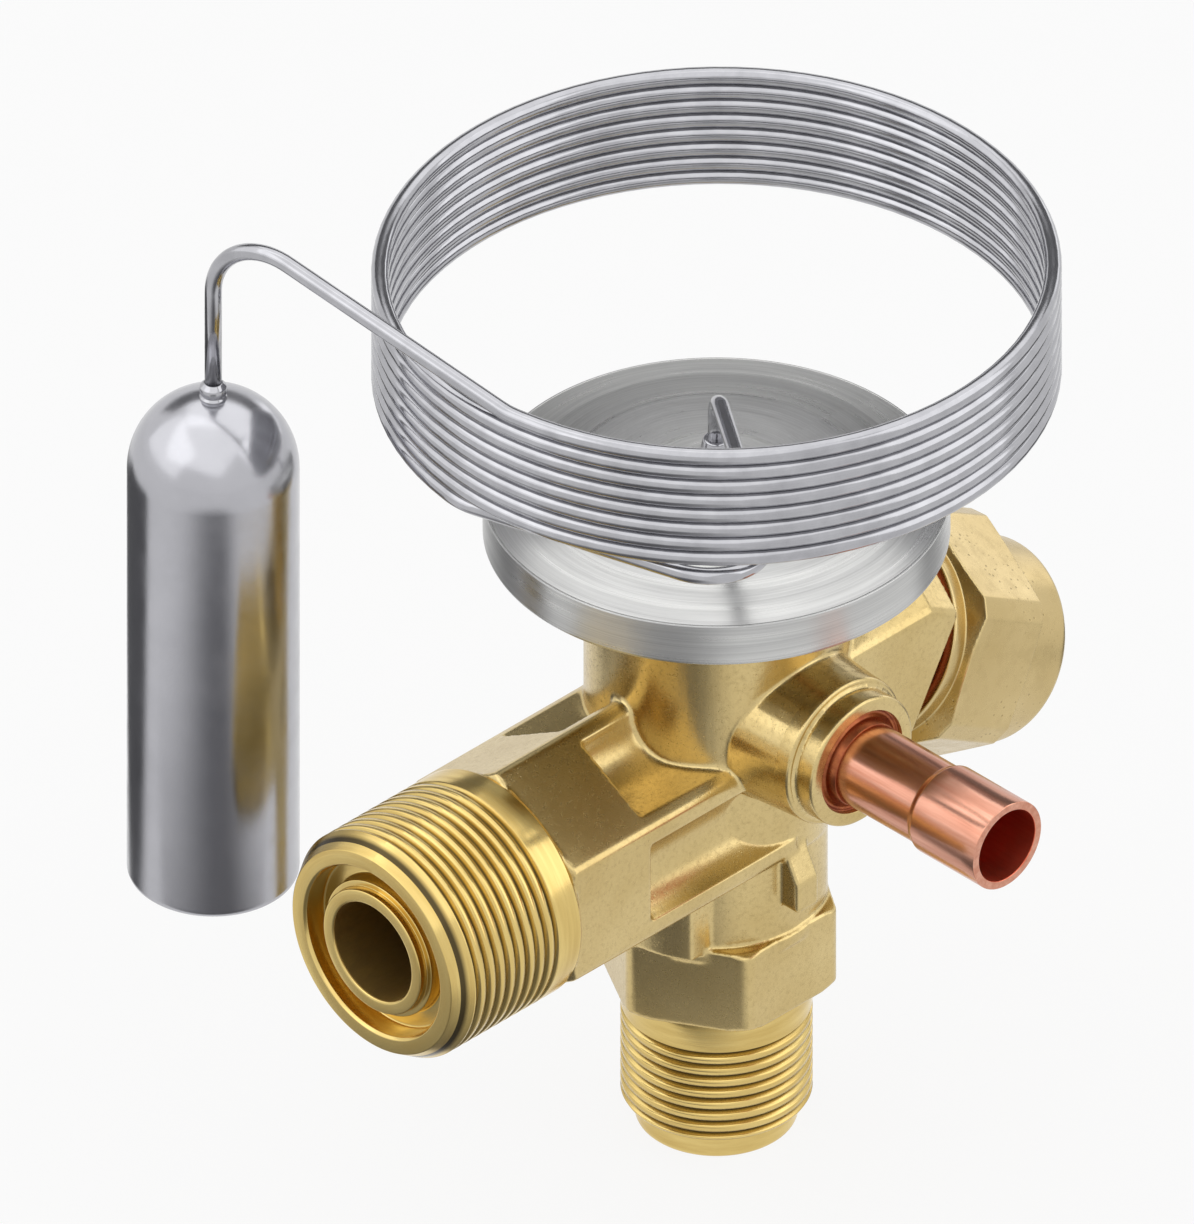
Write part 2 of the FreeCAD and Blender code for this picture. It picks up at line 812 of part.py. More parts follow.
def thrust_plate():
    """Plate that the diaphragm rests on. A spigot centres the spring."""
    disc_bottom = diaphragm_height - thrust_disc_thickness
    spigot_bottom = thrust_hub_bottom - thrust_spigot_length
    spigot_radius = spring_inner_radius - spigot_side_gap
    return turned([
        (pin_radius + seat_gap, spigot_bottom),
        (spigot_radius, spigot_bottom),
        (spigot_radius, thrust_hub_bottom),
        (thrust_hub_radius, thrust_hub_bottom),
        (thrust_hub_radius, disc_bottom),
        (thrust_disc_radius, disc_bottom),
        (thrust_disc_radius, diaphragm_height),
        (0, diaphragm_height),
        (0, disc_bottom),
        (pin_radius + seat_gap, disc_bottom),
    ])


def push_pin():
    """Pin from the thrust plate through the guide and the orifice to the valve cone."""
    top = diaphragm_height - thrust_disc_thickness
    step = crossing_bottom + pin_step_rise
    bottom = orifice_edge + cone_length
    return turned([
        (0, bottom),
        (pin_radius - pin_step, bottom),
        (pin_radius - pin_step, step),
        (pin_radius, step + pin_step),
        (pin_radius, top - fine_break),
        (pin_radius - fine_break, top),
        (0, top),
    ])


def pin_guide():
    """Pressed bush that guides the pin and parts the outlet from the chamber."""
    bottom = crossing_top + guide_plug_gap
    bore = pin_radius + running_gap
    seal_floor = guide_top - seal_thickness - retainer_thickness
    return turned([
        (bore, bottom),
        (guide_plug_radius, bottom),
        (guide_plug_radius, chamber_floor),
        (guide_flange_radius, chamber_floor),
        (guide_flange_radius, guide_flange_top),
        (guide_tube_radius, guide_flange_top),
        (guide_tube_radius, guide_top),
        (seal_radius, guide_top),
        (seal_radius, seal_floor),
        (bore, seal_floor),
    ])


def pin_seal():
    top = guide_top - retainer_thickness
    return ring(seal_radius - seat_gap, pin_radius + seat_gap, top - seal_thickness, top)


def seal_retainer():
    return ring(seal_radius, pin_radius + running_gap, guide_top - retainer_thickness, guide_top)


def orifice_seat():
    """Insert with the metering hole, seated under the shoulder of the inlet bore."""
    pocket_radius = orifice_radius + cone_length + cone_side_gap
    plug_radius = orifice_plug_radius - seat_gap
    top = crossing_bottom - orifice_top_gap
    return turned([
        (orifice_radius, orifice_edge),
        (pocket_radius, orifice_edge),
        (pocket_radius, orifice_bottom),
        (orifice_flange_radius, orifice_bottom),
        (orifice_flange_radius, orifice_shoulder),
        (plug_radius, orifice_shoulder),
        (plug_radius, top - edge_break),
        (plug_radius - edge_break, top),
        (orifice_radius, top),
    ])


def valve_cone():
    """Cone that closes the metering hole from below, with a stem for its spring."""
    base = orifice_edge - cone_length
    base_radius = orifice_radius + cone_length
    shoulder = base - cone_base_thickness
    tip = orifice_edge + cone_length - seat_gap
    return turned([
        (0, base - cone_stem_length),
        (cone_stem_radius, base - cone_stem_length),
        (cone_stem_radius, shoulder),
        (base_radius, shoulder),
        (base_radius, base - seat_gap),
        (orifice_radius - cone_length, tip),
        (0, tip),
    ])


def orifice_cage():
    """Windowed cup that holds the cone's spring under the orifice insert."""
    inner = orifice_flange_radius - cage_wall
    cup = turned([
        (0, cage_bottom),
        (orifice_flange_radius - edge_break, cage_bottom),
        (orifice_flange_radius, cage_bottom + edge_break),
        (orifice_flange_radius, orifice_bottom),
        (inner, orifice_bottom),
        (inner, cage_bottom + cage_floor),
        (0, cage_bottom + cage_floor),
    ])
    half = cage_window_width / 2
    low = cage_bottom + cage_floor + cage_window_rise
    high = low + cage_window_height
    windows = []
    for step in range(cage_window_count):
        window = box(Vector(cage_window_inner, -half, low), Vector(inlet_bore_radius, half, high))
        window.rotate(Vector(0, 0, 0), Z, 360 * step / cage_window_count)
        windows.append(window)
    return cup.cut(windows)


def cone_spring():
    start = cage_bottom + cage_floor + seat_gap
    end = orifice_edge - cone_length - cone_base_thickness - seat_gap
    return coil_spring(cone_spring_mean_radius, cone_spring_wire_radius, start, end, cone_spring_turns)


def strainer():
    """Tapered inlet strainer with rows of slots."""
    rim_bottom = cage_bottom - strainer_rim
    bottom = cage_bottom - strainer_length
    shell_radius = strainer_top_radius - strainer_rim_step
    shell = turned([
        (0, bottom),
        (strainer_end_radius, bottom),
        (shell_radius, rim_bottom),
        (strainer_top_radius, rim_bottom),
        (strainer_top_radius, cage_bottom),
        (shell_radius - strainer_wall, cage_bottom),
        (shell_radius - strainer_wall, rim_bottom),
        (strainer_end_radius - strainer_wall, bottom + strainer_wall),
        (0, bottom + strainer_wall),
    ])
    slots = []
    half = strainer_slot_width / 2
    spacing = (strainer_length - strainer_rim - strainer_margin) / strainer_slot_rows
    for row in range(strainer_slot_rows):
        low = bottom + strainer_margin + row * spacing
        high = low + strainer_slot_height
        for column in range(strainer_slot_columns):
            slot = box(Vector(strainer_slot_inner, -half, low), Vector(inlet_bore_radius, half, high))
            slot.rotate(Vector(0, 0, 0), Z, 360 * (column + 0.5 * (row % 2)) / strainer_slot_columns)
            slots.append(slot)
    return shell.cut(slots)


def equaliser_tube():
    """Copper tube with a cup expanded at its end."""
    cup_start = equaliser_reach - cup_length
    ramp_start = cup_start - cup_ramp
    bore = tube_radius - tube_wall
    tube = turned([
        (bore, socket_bottom),
        (tube_radius, socket_bottom),
        (tube_radius, ramp_start),
        (cup_radius, cup_start),
        (cup_radius, equaliser_reach),
        (cup_bore_radius, equaliser_reach),
        (cup_bore_radius, cup_start + cup_inner_ramp),
        (bore, ramp_start + cup_inner_ramp),
    ])
    return placed(tube, equaliser_frame)


def equaliser_braze():
    """Ring of braze metal between the tube and the lip of the boss."""
    bottom = lip_end - braze_depth
    inner = tube_radius + seat_gap
    edge = lip_end - braze_sink
    fillet = turned([
        (inner, bottom),
        (braze_radius, bottom),
        (braze_radius, edge),
        (braze_radius - braze_crest, edge - braze_sink),
        (inner + braze_crest, lip_end + edge_break),
        (inner, bottom + braze_height),
    ])
    return placed(fillet, equaliser_frame)


def element_base():
    """Lower half of the element: a turned disc with the recess for the thrust plate."""
    pocket = diaphragm_radius + diaphragm_side_gap
    recess_floor = neck_top + thrust_recess_floor
    return turned([
        (chamber_radius, neck_top),
        (element_radius - edge_break, neck_top),
        (element_radius, neck_top + edge_break),
        (element_radius, element_top - element_edge),
        (element_radius - element_edge, element_top),
        (pocket, element_top),
        (pocket, diaphragm_height),
        (thrust_recess_radius, diaphragm_height),
        (thrust_recess_radius, recess_floor),
        (chamber_radius, recess_floor),
    ])


def diaphragm():
    """Thin corrugated disc between the halves of the element."""
    start = thrust_disc_radius + wave_start
    spacing = (diaphragm_radius - wave_margin - start) / wave_count
    high = diaphragm_height + diaphragm_thickness
    under = [(0, diaphragm_height)]
    over = [(0, high)]
    for step in range(wave_count + 1):
        rise = wave_height * (step % 2)
        under.append((start + step * spacing, diaphragm_height + rise))
        over.append((start + step * spacing, high + rise))
    under.append((diaphragm_radius, diaphragm_height))
    over.append((diaphragm_radius, high))
    return turned(under + over[::-1])


def element_cover():
    """Dished upper half of the element, clamped on the edge of the diaphragm."""
    seat = diaphragm_height + diaphragm_thickness
    lip = diaphragm_radius - cover_lip
    return turned([
        (cover_edge_radius, element_top),
        (cover_shoulder_radius, element_top + cover_shoulder_rise),
        (cover_plateau_radius + cover_plateau_run, cover_plateau - cover_plateau_sag),
        (cover_plateau_radius, cover_plateau),
        (dome_radius, cover_plateau),
        (dome_radius - dome_shoulder, cover_plateau + dome_rise * dome_shoulder_share),
        (dome_top_radius, dome_top),
        (fitting_radius, dome_top),
        (fitting_radius, cover_plateau - cover_wall),
        (cover_plateau_radius, cover_plateau - cover_wall),
        (cover_shoulder_radius, seat + cover_shoulder_wall),
        (lip, seat + cover_lip_rise),
        (lip, seat),
        (cover_edge_radius, seat),
    ])


def capillary_fitting():
    """Stepped sleeve on the element that takes the end of the capillary tube."""
    base = cover_plateau - cover_wall
    collar = dome_top_radius - fitting_collar_step
    return turned([
        (0, base),
        (fitting_radius, base),
        (fitting_radius, dome_top),
        (collar, dome_top),
        (collar - fitting_collar_step, dome_top + fitting_collar_length),
        (fitting_radius + fitting_neck_width, dome_top + fitting_neck_length),
        (fitting_radius, fitting_top - fitting_tip_length),
        (fitting_radius - fitting_tip_step, fitting_top),
        (0, fitting_top),
    ])


def coil_winding():
    """The capillary's coil, which winds down from its start."""
    return winding(coil_radius, -coil_pitch * coil_turns, coil_turns, coil_start_angle, coil_start)


def bulb_axis():
    """Plan place of the bulb: straight on from the tangent where the coil starts."""
    before, after = coil_winding()[0][:2]
    start = (before + after) * 0.5
    level = Vector(before.x - after.x, before.y - after.y, 0).normalize()
    return Vector(start.x, start.y, 0) + level * bulb_tail_run


def capillary_tube():
    """Tube from the bulb over an arch, down the coil, then out, back and down into the fitting."""
    corners, bend = coil_winding()
    inner = corners[1:-1]
    start = (corners[0] + corners[1]) * 0.5
    end = (corners[-2] + corners[-1]) * 0.5
    lead = start - (corners[1] - corners[0]).normalize() * coil_lead
    follow = end + (corners[-1] - corners[-2]).normalize() * coil_lead
    crown = bulb_axis()
    crown.z = lead.z + bulb_tail_slope * (bulb_tail_run - coil_lead)
    socket = Vector(crown.x, crown.y, bulb_top - ferrule_inset)
    loop = bearing(loop_bearing, coil_radius + loop_out, fitting_top + loop_rise)
    hook = Vector(0, 0, fitting_top + leg_rise)
    fitting = Vector(0, 0, fitting_top)
    points = [socket, crown, lead] + inner + [follow, loop, hook, fitting]
    radii = [bulb_bend_radius, lead_bend_radius] + [bend] * len(inner)
    radii += [lead_bend_radius, loop_bend_radius, hook_bend_radius]
    return tube_along(rounded_path(points, radii), capillary_radius)


def sensing_bulb():
    """Round bulb with a domed top, hanging beside the coil."""
    shoulder = bulb_top - bulb_radius
    barrel = disc(bulb_radius, bulb_bottom, shoulder)
    bottom_edges = [edge for edge in barrel.Edges if edge.BoundBox.ZMax < bulb_bottom + bulb_edge]
    barrel = barrel.makeFillet(bulb_edge, bottom_edges)
    dome = Part.makeSphere(bulb_radius, Vector(0, 0, shoulder))
    socket = disc(ferrule_radius + seat_gap, bulb_top - ferrule_inset, bulb_top + overlap)
    bulb = barrel.fuse(dome).cut(socket).removeSplitter()
    bulb.translate(bulb_axis())
    return bulb


def bulb_ferrule():
    """Swaged collar where the capillary tube enters the bulb."""
    inner = capillary_radius + seat_gap
    groove = bulb_top + ferrule_groove_middle
    top = bulb_top + ferrule_length
    collar = turned([
        (inner, bulb_top - ferrule_inset),
        (ferrule_radius, bulb_top - ferrule_inset),
        (ferrule_radius, groove - ferrule_groove_half),
        (ferrule_radius - ferrule_groove, groove),
        (ferrule_radius, groove + ferrule_groove_half),
        (ferrule_radius, top - ferrule_wall),
        (inner + sliding_gap, top),
        (inner, top),
    ])
    collar.translate(bulb_axis())
    return collar


makers = [
    valve_body,
    seal_cap,
    cap_gasket,
    gland_nut,
    spindle_packing,
    packing_washer,
    setting_spindle,
    thrust_ball,
    spring_carrier,
    superheat_spring,
    thrust_plate,
    push_pin,
    pin_guide,
    pin_seal,
    seal_retainer,
    orifice_seat,
    valve_cone,
    cone_spring,
    orifice_cage,
    strainer,
    equaliser_tube,
    equaliser_braze,
    element_base,
    element_cover,
    diaphragm,
    capillary_fitting,
    capillary_tube,
    sensing_bulb,
    bulb_ferrule,
]

os.makedirs("parts", exist_ok=True)
for maker in makers:
    shape = maker()
    shape.exportStep(f"parts/{maker.__name__}.step")
    print(maker.__name__, len(shape.Solids), "solid", "valid" if shape.isValid() else "NOT VALID")
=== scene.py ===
import bmesh
import bpy
import json
import math
from mathutils import Matrix, Quaternion, Vector


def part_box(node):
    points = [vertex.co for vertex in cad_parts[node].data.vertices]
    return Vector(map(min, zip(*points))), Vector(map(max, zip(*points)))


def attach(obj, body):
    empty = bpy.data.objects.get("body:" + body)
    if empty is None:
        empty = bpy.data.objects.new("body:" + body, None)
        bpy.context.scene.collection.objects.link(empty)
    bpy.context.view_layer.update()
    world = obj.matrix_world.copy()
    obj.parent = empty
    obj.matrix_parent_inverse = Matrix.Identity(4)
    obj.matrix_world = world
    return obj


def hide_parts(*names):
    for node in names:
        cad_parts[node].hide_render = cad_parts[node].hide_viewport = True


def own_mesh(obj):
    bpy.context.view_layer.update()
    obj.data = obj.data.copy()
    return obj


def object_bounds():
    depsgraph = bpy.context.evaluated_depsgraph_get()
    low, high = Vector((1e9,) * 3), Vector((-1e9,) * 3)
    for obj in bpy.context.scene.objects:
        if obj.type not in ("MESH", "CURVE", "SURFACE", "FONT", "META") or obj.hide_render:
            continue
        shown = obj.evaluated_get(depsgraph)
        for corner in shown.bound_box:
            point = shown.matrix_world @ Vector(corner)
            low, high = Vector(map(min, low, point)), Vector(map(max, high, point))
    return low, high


# Thermostatic expansion valve: the finish of every surface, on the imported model's frame.
# Lengths in the dictionaries are millimetres, and mm turns them into the scene's metres.

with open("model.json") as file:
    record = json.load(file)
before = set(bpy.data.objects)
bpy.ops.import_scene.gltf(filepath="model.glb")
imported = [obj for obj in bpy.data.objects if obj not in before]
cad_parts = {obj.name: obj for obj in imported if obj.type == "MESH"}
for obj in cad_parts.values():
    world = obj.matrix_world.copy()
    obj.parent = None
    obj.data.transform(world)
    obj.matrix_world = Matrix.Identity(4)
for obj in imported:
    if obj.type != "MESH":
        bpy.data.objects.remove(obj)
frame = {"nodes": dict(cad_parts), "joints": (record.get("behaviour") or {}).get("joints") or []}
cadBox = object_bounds()
mm = 0.001
tiny = 1e-6

elementBottom, elementTop = (corner.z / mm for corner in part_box("element_base"))
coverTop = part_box("element_cover")[1].z / mm
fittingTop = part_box("capillary_fitting")[1].z / mm
bulbLow, bulbHigh = (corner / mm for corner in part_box("sensing_bulb"))
bulbBottom = bulbLow.z
bulbTop = bulbHigh.z
bulbAxis = (bulbLow + bulbHigh) / 2
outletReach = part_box("valve_body")[1].x / mm
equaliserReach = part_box("equaliser_tube")[1].y / mm
equaliserHeight = sum(corner.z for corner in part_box("equaliser_tube")) / 2 / mm
joints = {joint["name"]: joint for joint in frame["joints"]}
settingHeight = joints["cap_turn"]["pos_m"][2] / mm
outletHeight = 36.2
settingTilt = 30

# Each turned piece is drawn along its own Z and placed by one of these frames.
uprightFrame = Matrix.Identity(4)
outletFrame = Matrix.Translation((0, 0, outletHeight * mm)) @ Matrix.Rotation(math.radians(90), 4, "Y")
equaliserFrame = Matrix.Translation((0, 0, equaliserHeight * mm)) @ Matrix.Rotation(math.radians(-90), 4, "X")
settingTurn = Matrix.Rotation(math.radians(-90 - settingTilt), 4, "Y")
settingFrame = Matrix.Translation((0, 0, settingHeight * mm)) @ settingTurn
bulbFrame = Matrix.Translation((bulbAxis.x * mm, bulbAxis.y * mm, 0))


def srgb(code):
    channels = [int(code[place:place + 2], 16) / 255 for place in (1, 3, 5)]
    linear = [value / 12.92 if value <= 0.04045 else ((value + 0.055) / 1.055) ** 2.4 for value in channels]
    return (*linear, 1)


# Camera: the photograph is an exact isometric view with no perspective.
photo = {"pixelsPerMm": 12.1, "height": 1224, "azimuth": 135, "elevation": 35.264}
framing = {"right": -9.876, "up": 11.686, "distance": 400}


def addCamera():
    azimuth = math.radians(photo["azimuth"])
    elevation = math.radians(photo["elevation"])
    level = Vector((math.sin(azimuth), -math.cos(azimuth), 0))
    back = level * math.cos(elevation) + Vector((0, 0, math.sin(elevation)))
    right = Vector((0, 0, 1)).cross(back).normalized()
    up = back.cross(right)
    target = Vector((0, 0, outletHeight)) + right * framing["right"] + up * framing["up"]
    data = bpy.data.cameras.new("camera")
    data.type = "ORTHO"
    data.ortho_scale = photo["height"] / photo["pixelsPerMm"] * mm
    data.clip_start = 0.001
    data.clip_end = 20
    camera = bpy.data.objects.new("camera", data)
    bpy.context.scene.collection.objects.link(camera)
    camera.location = (target + back * framing["distance"]) * mm
    camera.rotation_euler = (-back).to_track_quat("-Z", "Y").to_euler()
    bpy.context.scene.camera = camera


# Materials


def addNode(tree, kind, links=None, stops=None, **settings):
    node = tree.nodes.new("ShaderNode" + kind)
    for name, value in settings.items():
        setattr(node, name, value)
    for socket, source in (links or {}).items():
        if isinstance(source, bpy.types.Node):
            source = next(output for output in source.outputs if output.enabled)
        if isinstance(source, bpy.types.NodeSocket):
            tree.links.new(source, node.inputs[socket])
        else:
            node.inputs[socket].default_value = source
    for index, (position, value) in enumerate(stops or []):
        elements = node.color_ramp.elements
        element = elements[index] if index < len(elements) else elements.new(position)
        element.position = position
        element.color = value if isinstance(value, tuple) else (value, value, value, 1)
    return node


def newMaterial(name, **constants):
    material = bpy.data.materials.new(name)
    material.use_nodes = True
    tree = material.node_tree
    tree.nodes.clear()
    shader = addNode(tree, "BsdfPrincipled")
    for socket, value in constants.items():
        shader.inputs[socket.replace("_", " ")].default_value = value
    addNode(tree, "OutputMaterial", {"Surface": shader})
    return material, tree, shader


def perSize(size):
    # A texture scale that gives features of this many millimetres
    return 1 / (size * mm)


def aroundAxis(tree, around, along):
    # Places a pattern on a turned piece: its angle, height and radius about its own Z
    place = addNode(tree, "TexCoord").outputs["Object"]
    parts = addNode(tree, "SeparateXYZ", {"Vector": place})
    flat = addNode(tree, "VectorMath", {0: place, 1: (1, 1, 0)}, operation="MULTIPLY")
    radius = addNode(tree, "VectorMath", {0: flat}, operation="LENGTH").outputs["Value"]
    angle = addNode(tree, "Math", {0: parts.outputs["Y"], 1: parts.outputs["X"]}, operation="ARCTAN2")
    turned = addNode(tree, "Math", {0: angle, 1: around}, operation="MULTIPLY")
    height = addNode(tree, "Math", {0: parts.outputs["Z"], 1: along}, operation="MULTIPLY")
    reach = addNode(tree, "Math", {0: radius, 1: along}, operation="MULTIPLY")
    return addNode(tree, "CombineXYZ", {"X": turned, "Y": height, "Z": reach}), radius


def varied(tree, shader, pattern, atLow, atHigh):
    # Roughness follows a pattern, from its low places to its high ones
    rough = addNode(tree, "MapRange", {"Value": pattern, 1: 0.3, 2: 0.7, 3: atLow, 4: atHigh})
    tree.links.new(rough.outputs["Result"], shader.inputs["Roughness"])


# Blasted or cast surfaces: cloudy colour, a fine grain, stains and scattered pits
def blastedMetal(name, look):
    material, tree, shader = newMaterial(name, Metallic=1.0)
    place = addNode(tree, "TexCoord").outputs["Object"]
    cloud = addNode(tree, "TexNoise", {"Vector": place, "Scale": perSize(look["cloud"]), "Detail": 4.0})
    stain = addNode(tree, "TexNoise", {"Vector": place, "Scale": perSize(look["stain"]), "Detail": 5.0,
                                       "Roughness": 0.68})
    grain = addNode(tree, "TexNoise", {"Vector": place, "Scale": perSize(look["grain"]), "Detail": 3.0})
    cell = addNode(tree, "TexVoronoi", {"Vector": place, "Scale": perSize(look["pit"])})
    where = addNode(tree, "ValToRGB", {"Fac": cloud}, [(0.47, 0.0), (0.6, 1.0)])
    dots = addNode(tree, "ValToRGB", {"Fac": cell}, [(0.08, 1.0), (0.2, 0.0)])
    pits = addNode(tree, "Math", {0: where, 1: dots}, operation="MULTIPLY")
    base = addNode(tree, "ValToRGB", {"Fac": cloud}, [(0.3, srgb(look["dark"])), (0.7, srgb(look["light"]))])
    dirt = addNode(tree, "ValToRGB", {"Fac": stain}, [(0.3, 1.0), (0.52, 0.0)])
    dirtShare = addNode(tree, "Math", {0: dirt, 1: look["stainShare"]}, operation="MULTIPLY")
    stained = addNode(tree, "Mix", {0: dirtShare, 6: base, 7: srgb(look["stainColour"])}, data_type="RGBA")
    pitShare = addNode(tree, "Math", {0: pits, 1: look["pitShare"]}, operation="MULTIPLY")
    pitted = addNode(tree, "Mix", {0: pitShare, 6: stained, 7: srgb(look["stainColour"])}, data_type="RGBA")
    # Handling rubs the outside edges bright
    point = addNode(tree, "NewGeometry").outputs["Pointiness"]
    edge = addNode(tree, "ValToRGB", {"Fac": point}, [(0.51, 0.0), (0.56, look["rub"])])
    rubbed = addNode(tree, "Mix", {0: edge, 6: pitted, 7: srgb(look["rubColour"])}, data_type="RGBA")
    tree.links.new(rubbed.outputs[2], shader.inputs["Base Color"])
    varied(tree, shader, stain, look["rough"] + 0.06, look["rough"] - 0.05)
    wave = addNode(tree, "Bump", {"Height": stain, "Strength": 0.3, "Distance": look["waveDepth"] * mm})
    fine = addNode(tree, "Bump", {"Height": grain, "Strength": 0.5, "Distance": look["grainDepth"] * mm,
                                  "Normal": wave})
    sunk = addNode(tree, "Bump", {"Height": pits, "Strength": 0.5, "Distance": look["pitDepth"] * mm, "Normal": fine},
                   invert=True)
    tree.links.new(sunk.outputs["Normal"], shader.inputs["Normal"])
    return material


# Turned or brushed surfaces: fine rings left by the tool, with broader soft bands
def turnedMetal(name, look):
    material, tree, shader = newMaterial(name, Metallic=1.0)
    # Round the piece both patterns change slowly, so that they run as long arcs
    fineLines, radius = aroundAxis(tree, 0.6, perSize(look["line"]))
    broadBands, radius = aroundAxis(tree, 1.2, perSize(look["band"]))
    lines = addNode(tree, "TexNoise", {"Vector": fineLines, "Scale": 1.0, "Detail": 4.0, "Roughness": 0.7})
    bands = addNode(tree, "TexNoise", {"Vector": broadBands, "Scale": 1.0, "Detail": 4.0})
    base = addNode(tree, "ValToRGB", {"Fac": bands}, [(0.3, srgb(look["dark"])), (0.7, srgb(look["light"]))])
    if "lineShade" in look:
        # Painted sheen and shade: the brush lines are drawn as dark and light rings in the colour, even where the
        # light is even
        shade = addNode(tree, "ValToRGB", {"Fac": lines}, [(0.36, look["lineShade"]), (0.62, 1.0)])
        mixed = addNode(tree, "Mix", {0: 1.0, 6: base, 7: shade}, data_type="RGBA", blend_type="MULTIPLY")
        tree.links.new(mixed.outputs[2], shader.inputs["Base Color"])
    elif "crest" in look:
        # Painted shade: the roots of the thread are darkened, where shade falls between the ridges
        crest = look["crest"] * mm
        root = addNode(tree, "MapRange", {"Value": radius, 1: crest - look["root"] * mm,
                                          2: crest - look["rootEnd"] * mm, 3: look["rootShare"], 4: 0.0})
        inside = addNode(tree, "Math", {0: radius, 1: crest - look["rootFloor"] * mm}, operation="GREATER_THAN")
        share = addNode(tree, "Math", {0: root.outputs["Result"], 1: inside}, operation="MULTIPLY")
        base = addNode(tree, "Mix", {0: share, 6: base, 7: srgb(look["rootColour"])}, data_type="RGBA")
        tree.links.new(base.outputs[2], shader.inputs["Base Color"])
    else:
        tree.links.new(base.outputs["Color"], shader.inputs["Base Color"])
    varied(tree, shader, bands, look["rough"] + 0.06, look["rough"] - 0.05)
    if "brushed" in look:
        tangent = addNode(tree, "Tangent", direction_type="RADIAL", axis="Z")
        tree.links.new(tangent.outputs["Tangent"], shader.inputs["Tangent"])
        shader.inputs["Anisotropic"].default_value = look["brushed"]
        shader.inputs["Anisotropic Rotation"].default_value = 0.25
    soft = addNode(tree, "Bump", {"Height": bands, "Strength": 0.25, "Distance": look["bandDepth"] * mm})
    cut = addNode(tree, "Bump", {"Height": lines, "Strength": 0.5, "Distance": look["lineDepth"] * mm,
                                 "Normal": soft})
    tree.links.new(cut.outputs["Normal"], shader.inputs["Normal"])
    return material


# Drawn or moulded surfaces: nearly smooth, with streaks along the piece and a faint grain
faintRelief = {"grain": 0.2, "grainDepth": 0.006, "streakDepth": 0.02}


def smoothFinish(name, look):
    material, tree, shader = newMaterial(name, Metallic=look.get("metallic", 1.0))
    place = addNode(tree, "TexCoord").outputs["Object"]
    streaked = addNode(tree, "Mapping", {"Vector": place, "Scale": look.get("stretch", (1, 1, 1))})
    streak = addNode(tree, "TexNoise", {"Vector": streaked, "Scale": perSize(look["streak"]), "Detail": 5.0,
                                        "Roughness": 0.6})
    grain = addNode(tree, "TexNoise", {"Vector": place, "Scale": perSize(faintRelief["grain"]), "Detail": 3.0})
    base = addNode(tree, "ValToRGB", {"Fac": streak}, [(0.32, srgb(look["dark"])), (0.68, srgb(look["light"]))])
    tree.links.new(base.outputs["Color"], shader.inputs["Base Color"])
    varied(tree, shader, streak, look["rough"] + 0.05, look["rough"] - 0.05)
    soft = addNode(tree, "Bump", {"Height": streak, "Strength": 0.2, "Distance": faintRelief["streakDepth"] * mm})
    fine = addNode(tree, "Bump", {"Height": grain, "Strength": 0.3, "Distance": faintRelief["grainDepth"] * mm,
                                  "Normal": soft})
    tree.links.new(fine.outputs["Normal"], shader.inputs["Normal"])
    return material


# Cloud, grain, line, pit and streak sizes are millimetres, drawn a little coarser than life so that they show.
# A thread's root, rootEnd and rootFloor are depths below its crest; between them lies the painted shade of its roots.
forgedLook = {"dark": "#c6ae76", "light": "#d6c08a", "stainColour": "#6b5830", "rubColour": "#e3cf93", "rub": 0.12,
              "cloud": 9, "stain": 0.45, "stainShare": 0.2, "grain": 0.15, "pit": 0.36, "pitShare": 0.28,
              "rough": 0.24, "waveDepth": 0.014, "grainDepth": 0.008, "pitDepth": 0.02}
capLook = {"dark": "#c0a975", "light": "#ceb886", "stainColour": "#7d6736", "rubColour": "#ead9a6", "rub": 0.2,
           "cloud": 9, "stain": 1.6, "stainShare": 0.12, "grain": 0.2, "pit": 0.6, "pitShare": 0.6, "rough": 0.26,
           "waveDepth": 0.01, "grainDepth": 0.008, "pitDepth": 0.04}
bulbLook = {"dark": "#b0b0b5", "light": "#b9b9be", "stainColour": "#8e8e92", "rubColour": "#c8c8cc", "rub": 0.0,
            "cloud": 9, "stain": 4.0, "stainShare": 0.04, "grain": 0.16, "pit": 0.5, "pitShare": 0.0, "rough": 0.2,
            "waveDepth": 0.004, "grainDepth": 0.009, "pitDepth": 0.0}
# portLook paints shade into the thread roots with its root colour and share
portLook = {"dark": "#cdb06a", "light": "#e0c680", "line": 0.16, "band": 0.8, "lineDepth": 0.01, "bandDepth": 0.01,
            "rough": 0.19, "root": 0.42, "rootEnd": 0.2, "rootFloor": 0.62, "rootShare": 0.9,
            "rootColour": "#2b2620"}
innerLook = {"dark": "#bca164", "light": "#ccb478", "line": 0.16, "band": 0.8, "lineDepth": 0.01, "bandDepth": 0.01,
             "rough": 0.26}
# Its lineShade paints the brush lines as darker rings, standing in for their sheen and shade
brushedLook = {"dark": "#c0c0bf", "light": "#cfcfcd", "line": 0.12, "band": 1.0, "lineDepth": 0.007,
               "bandDepth": 0.003, "rough": 0.3, "brushed": 0.7, "lineShade": 0.8}
capillaryLook = {"dark": "#a6a6aa", "light": "#b4b4b8", "streak": 2.5, "rough": 0.13}
copperLook = {"dark": "#c3846c", "light": "#d8a18a", "streak": 0.6, "stretch": (1, 1, 0.06), "rough": 0.2}
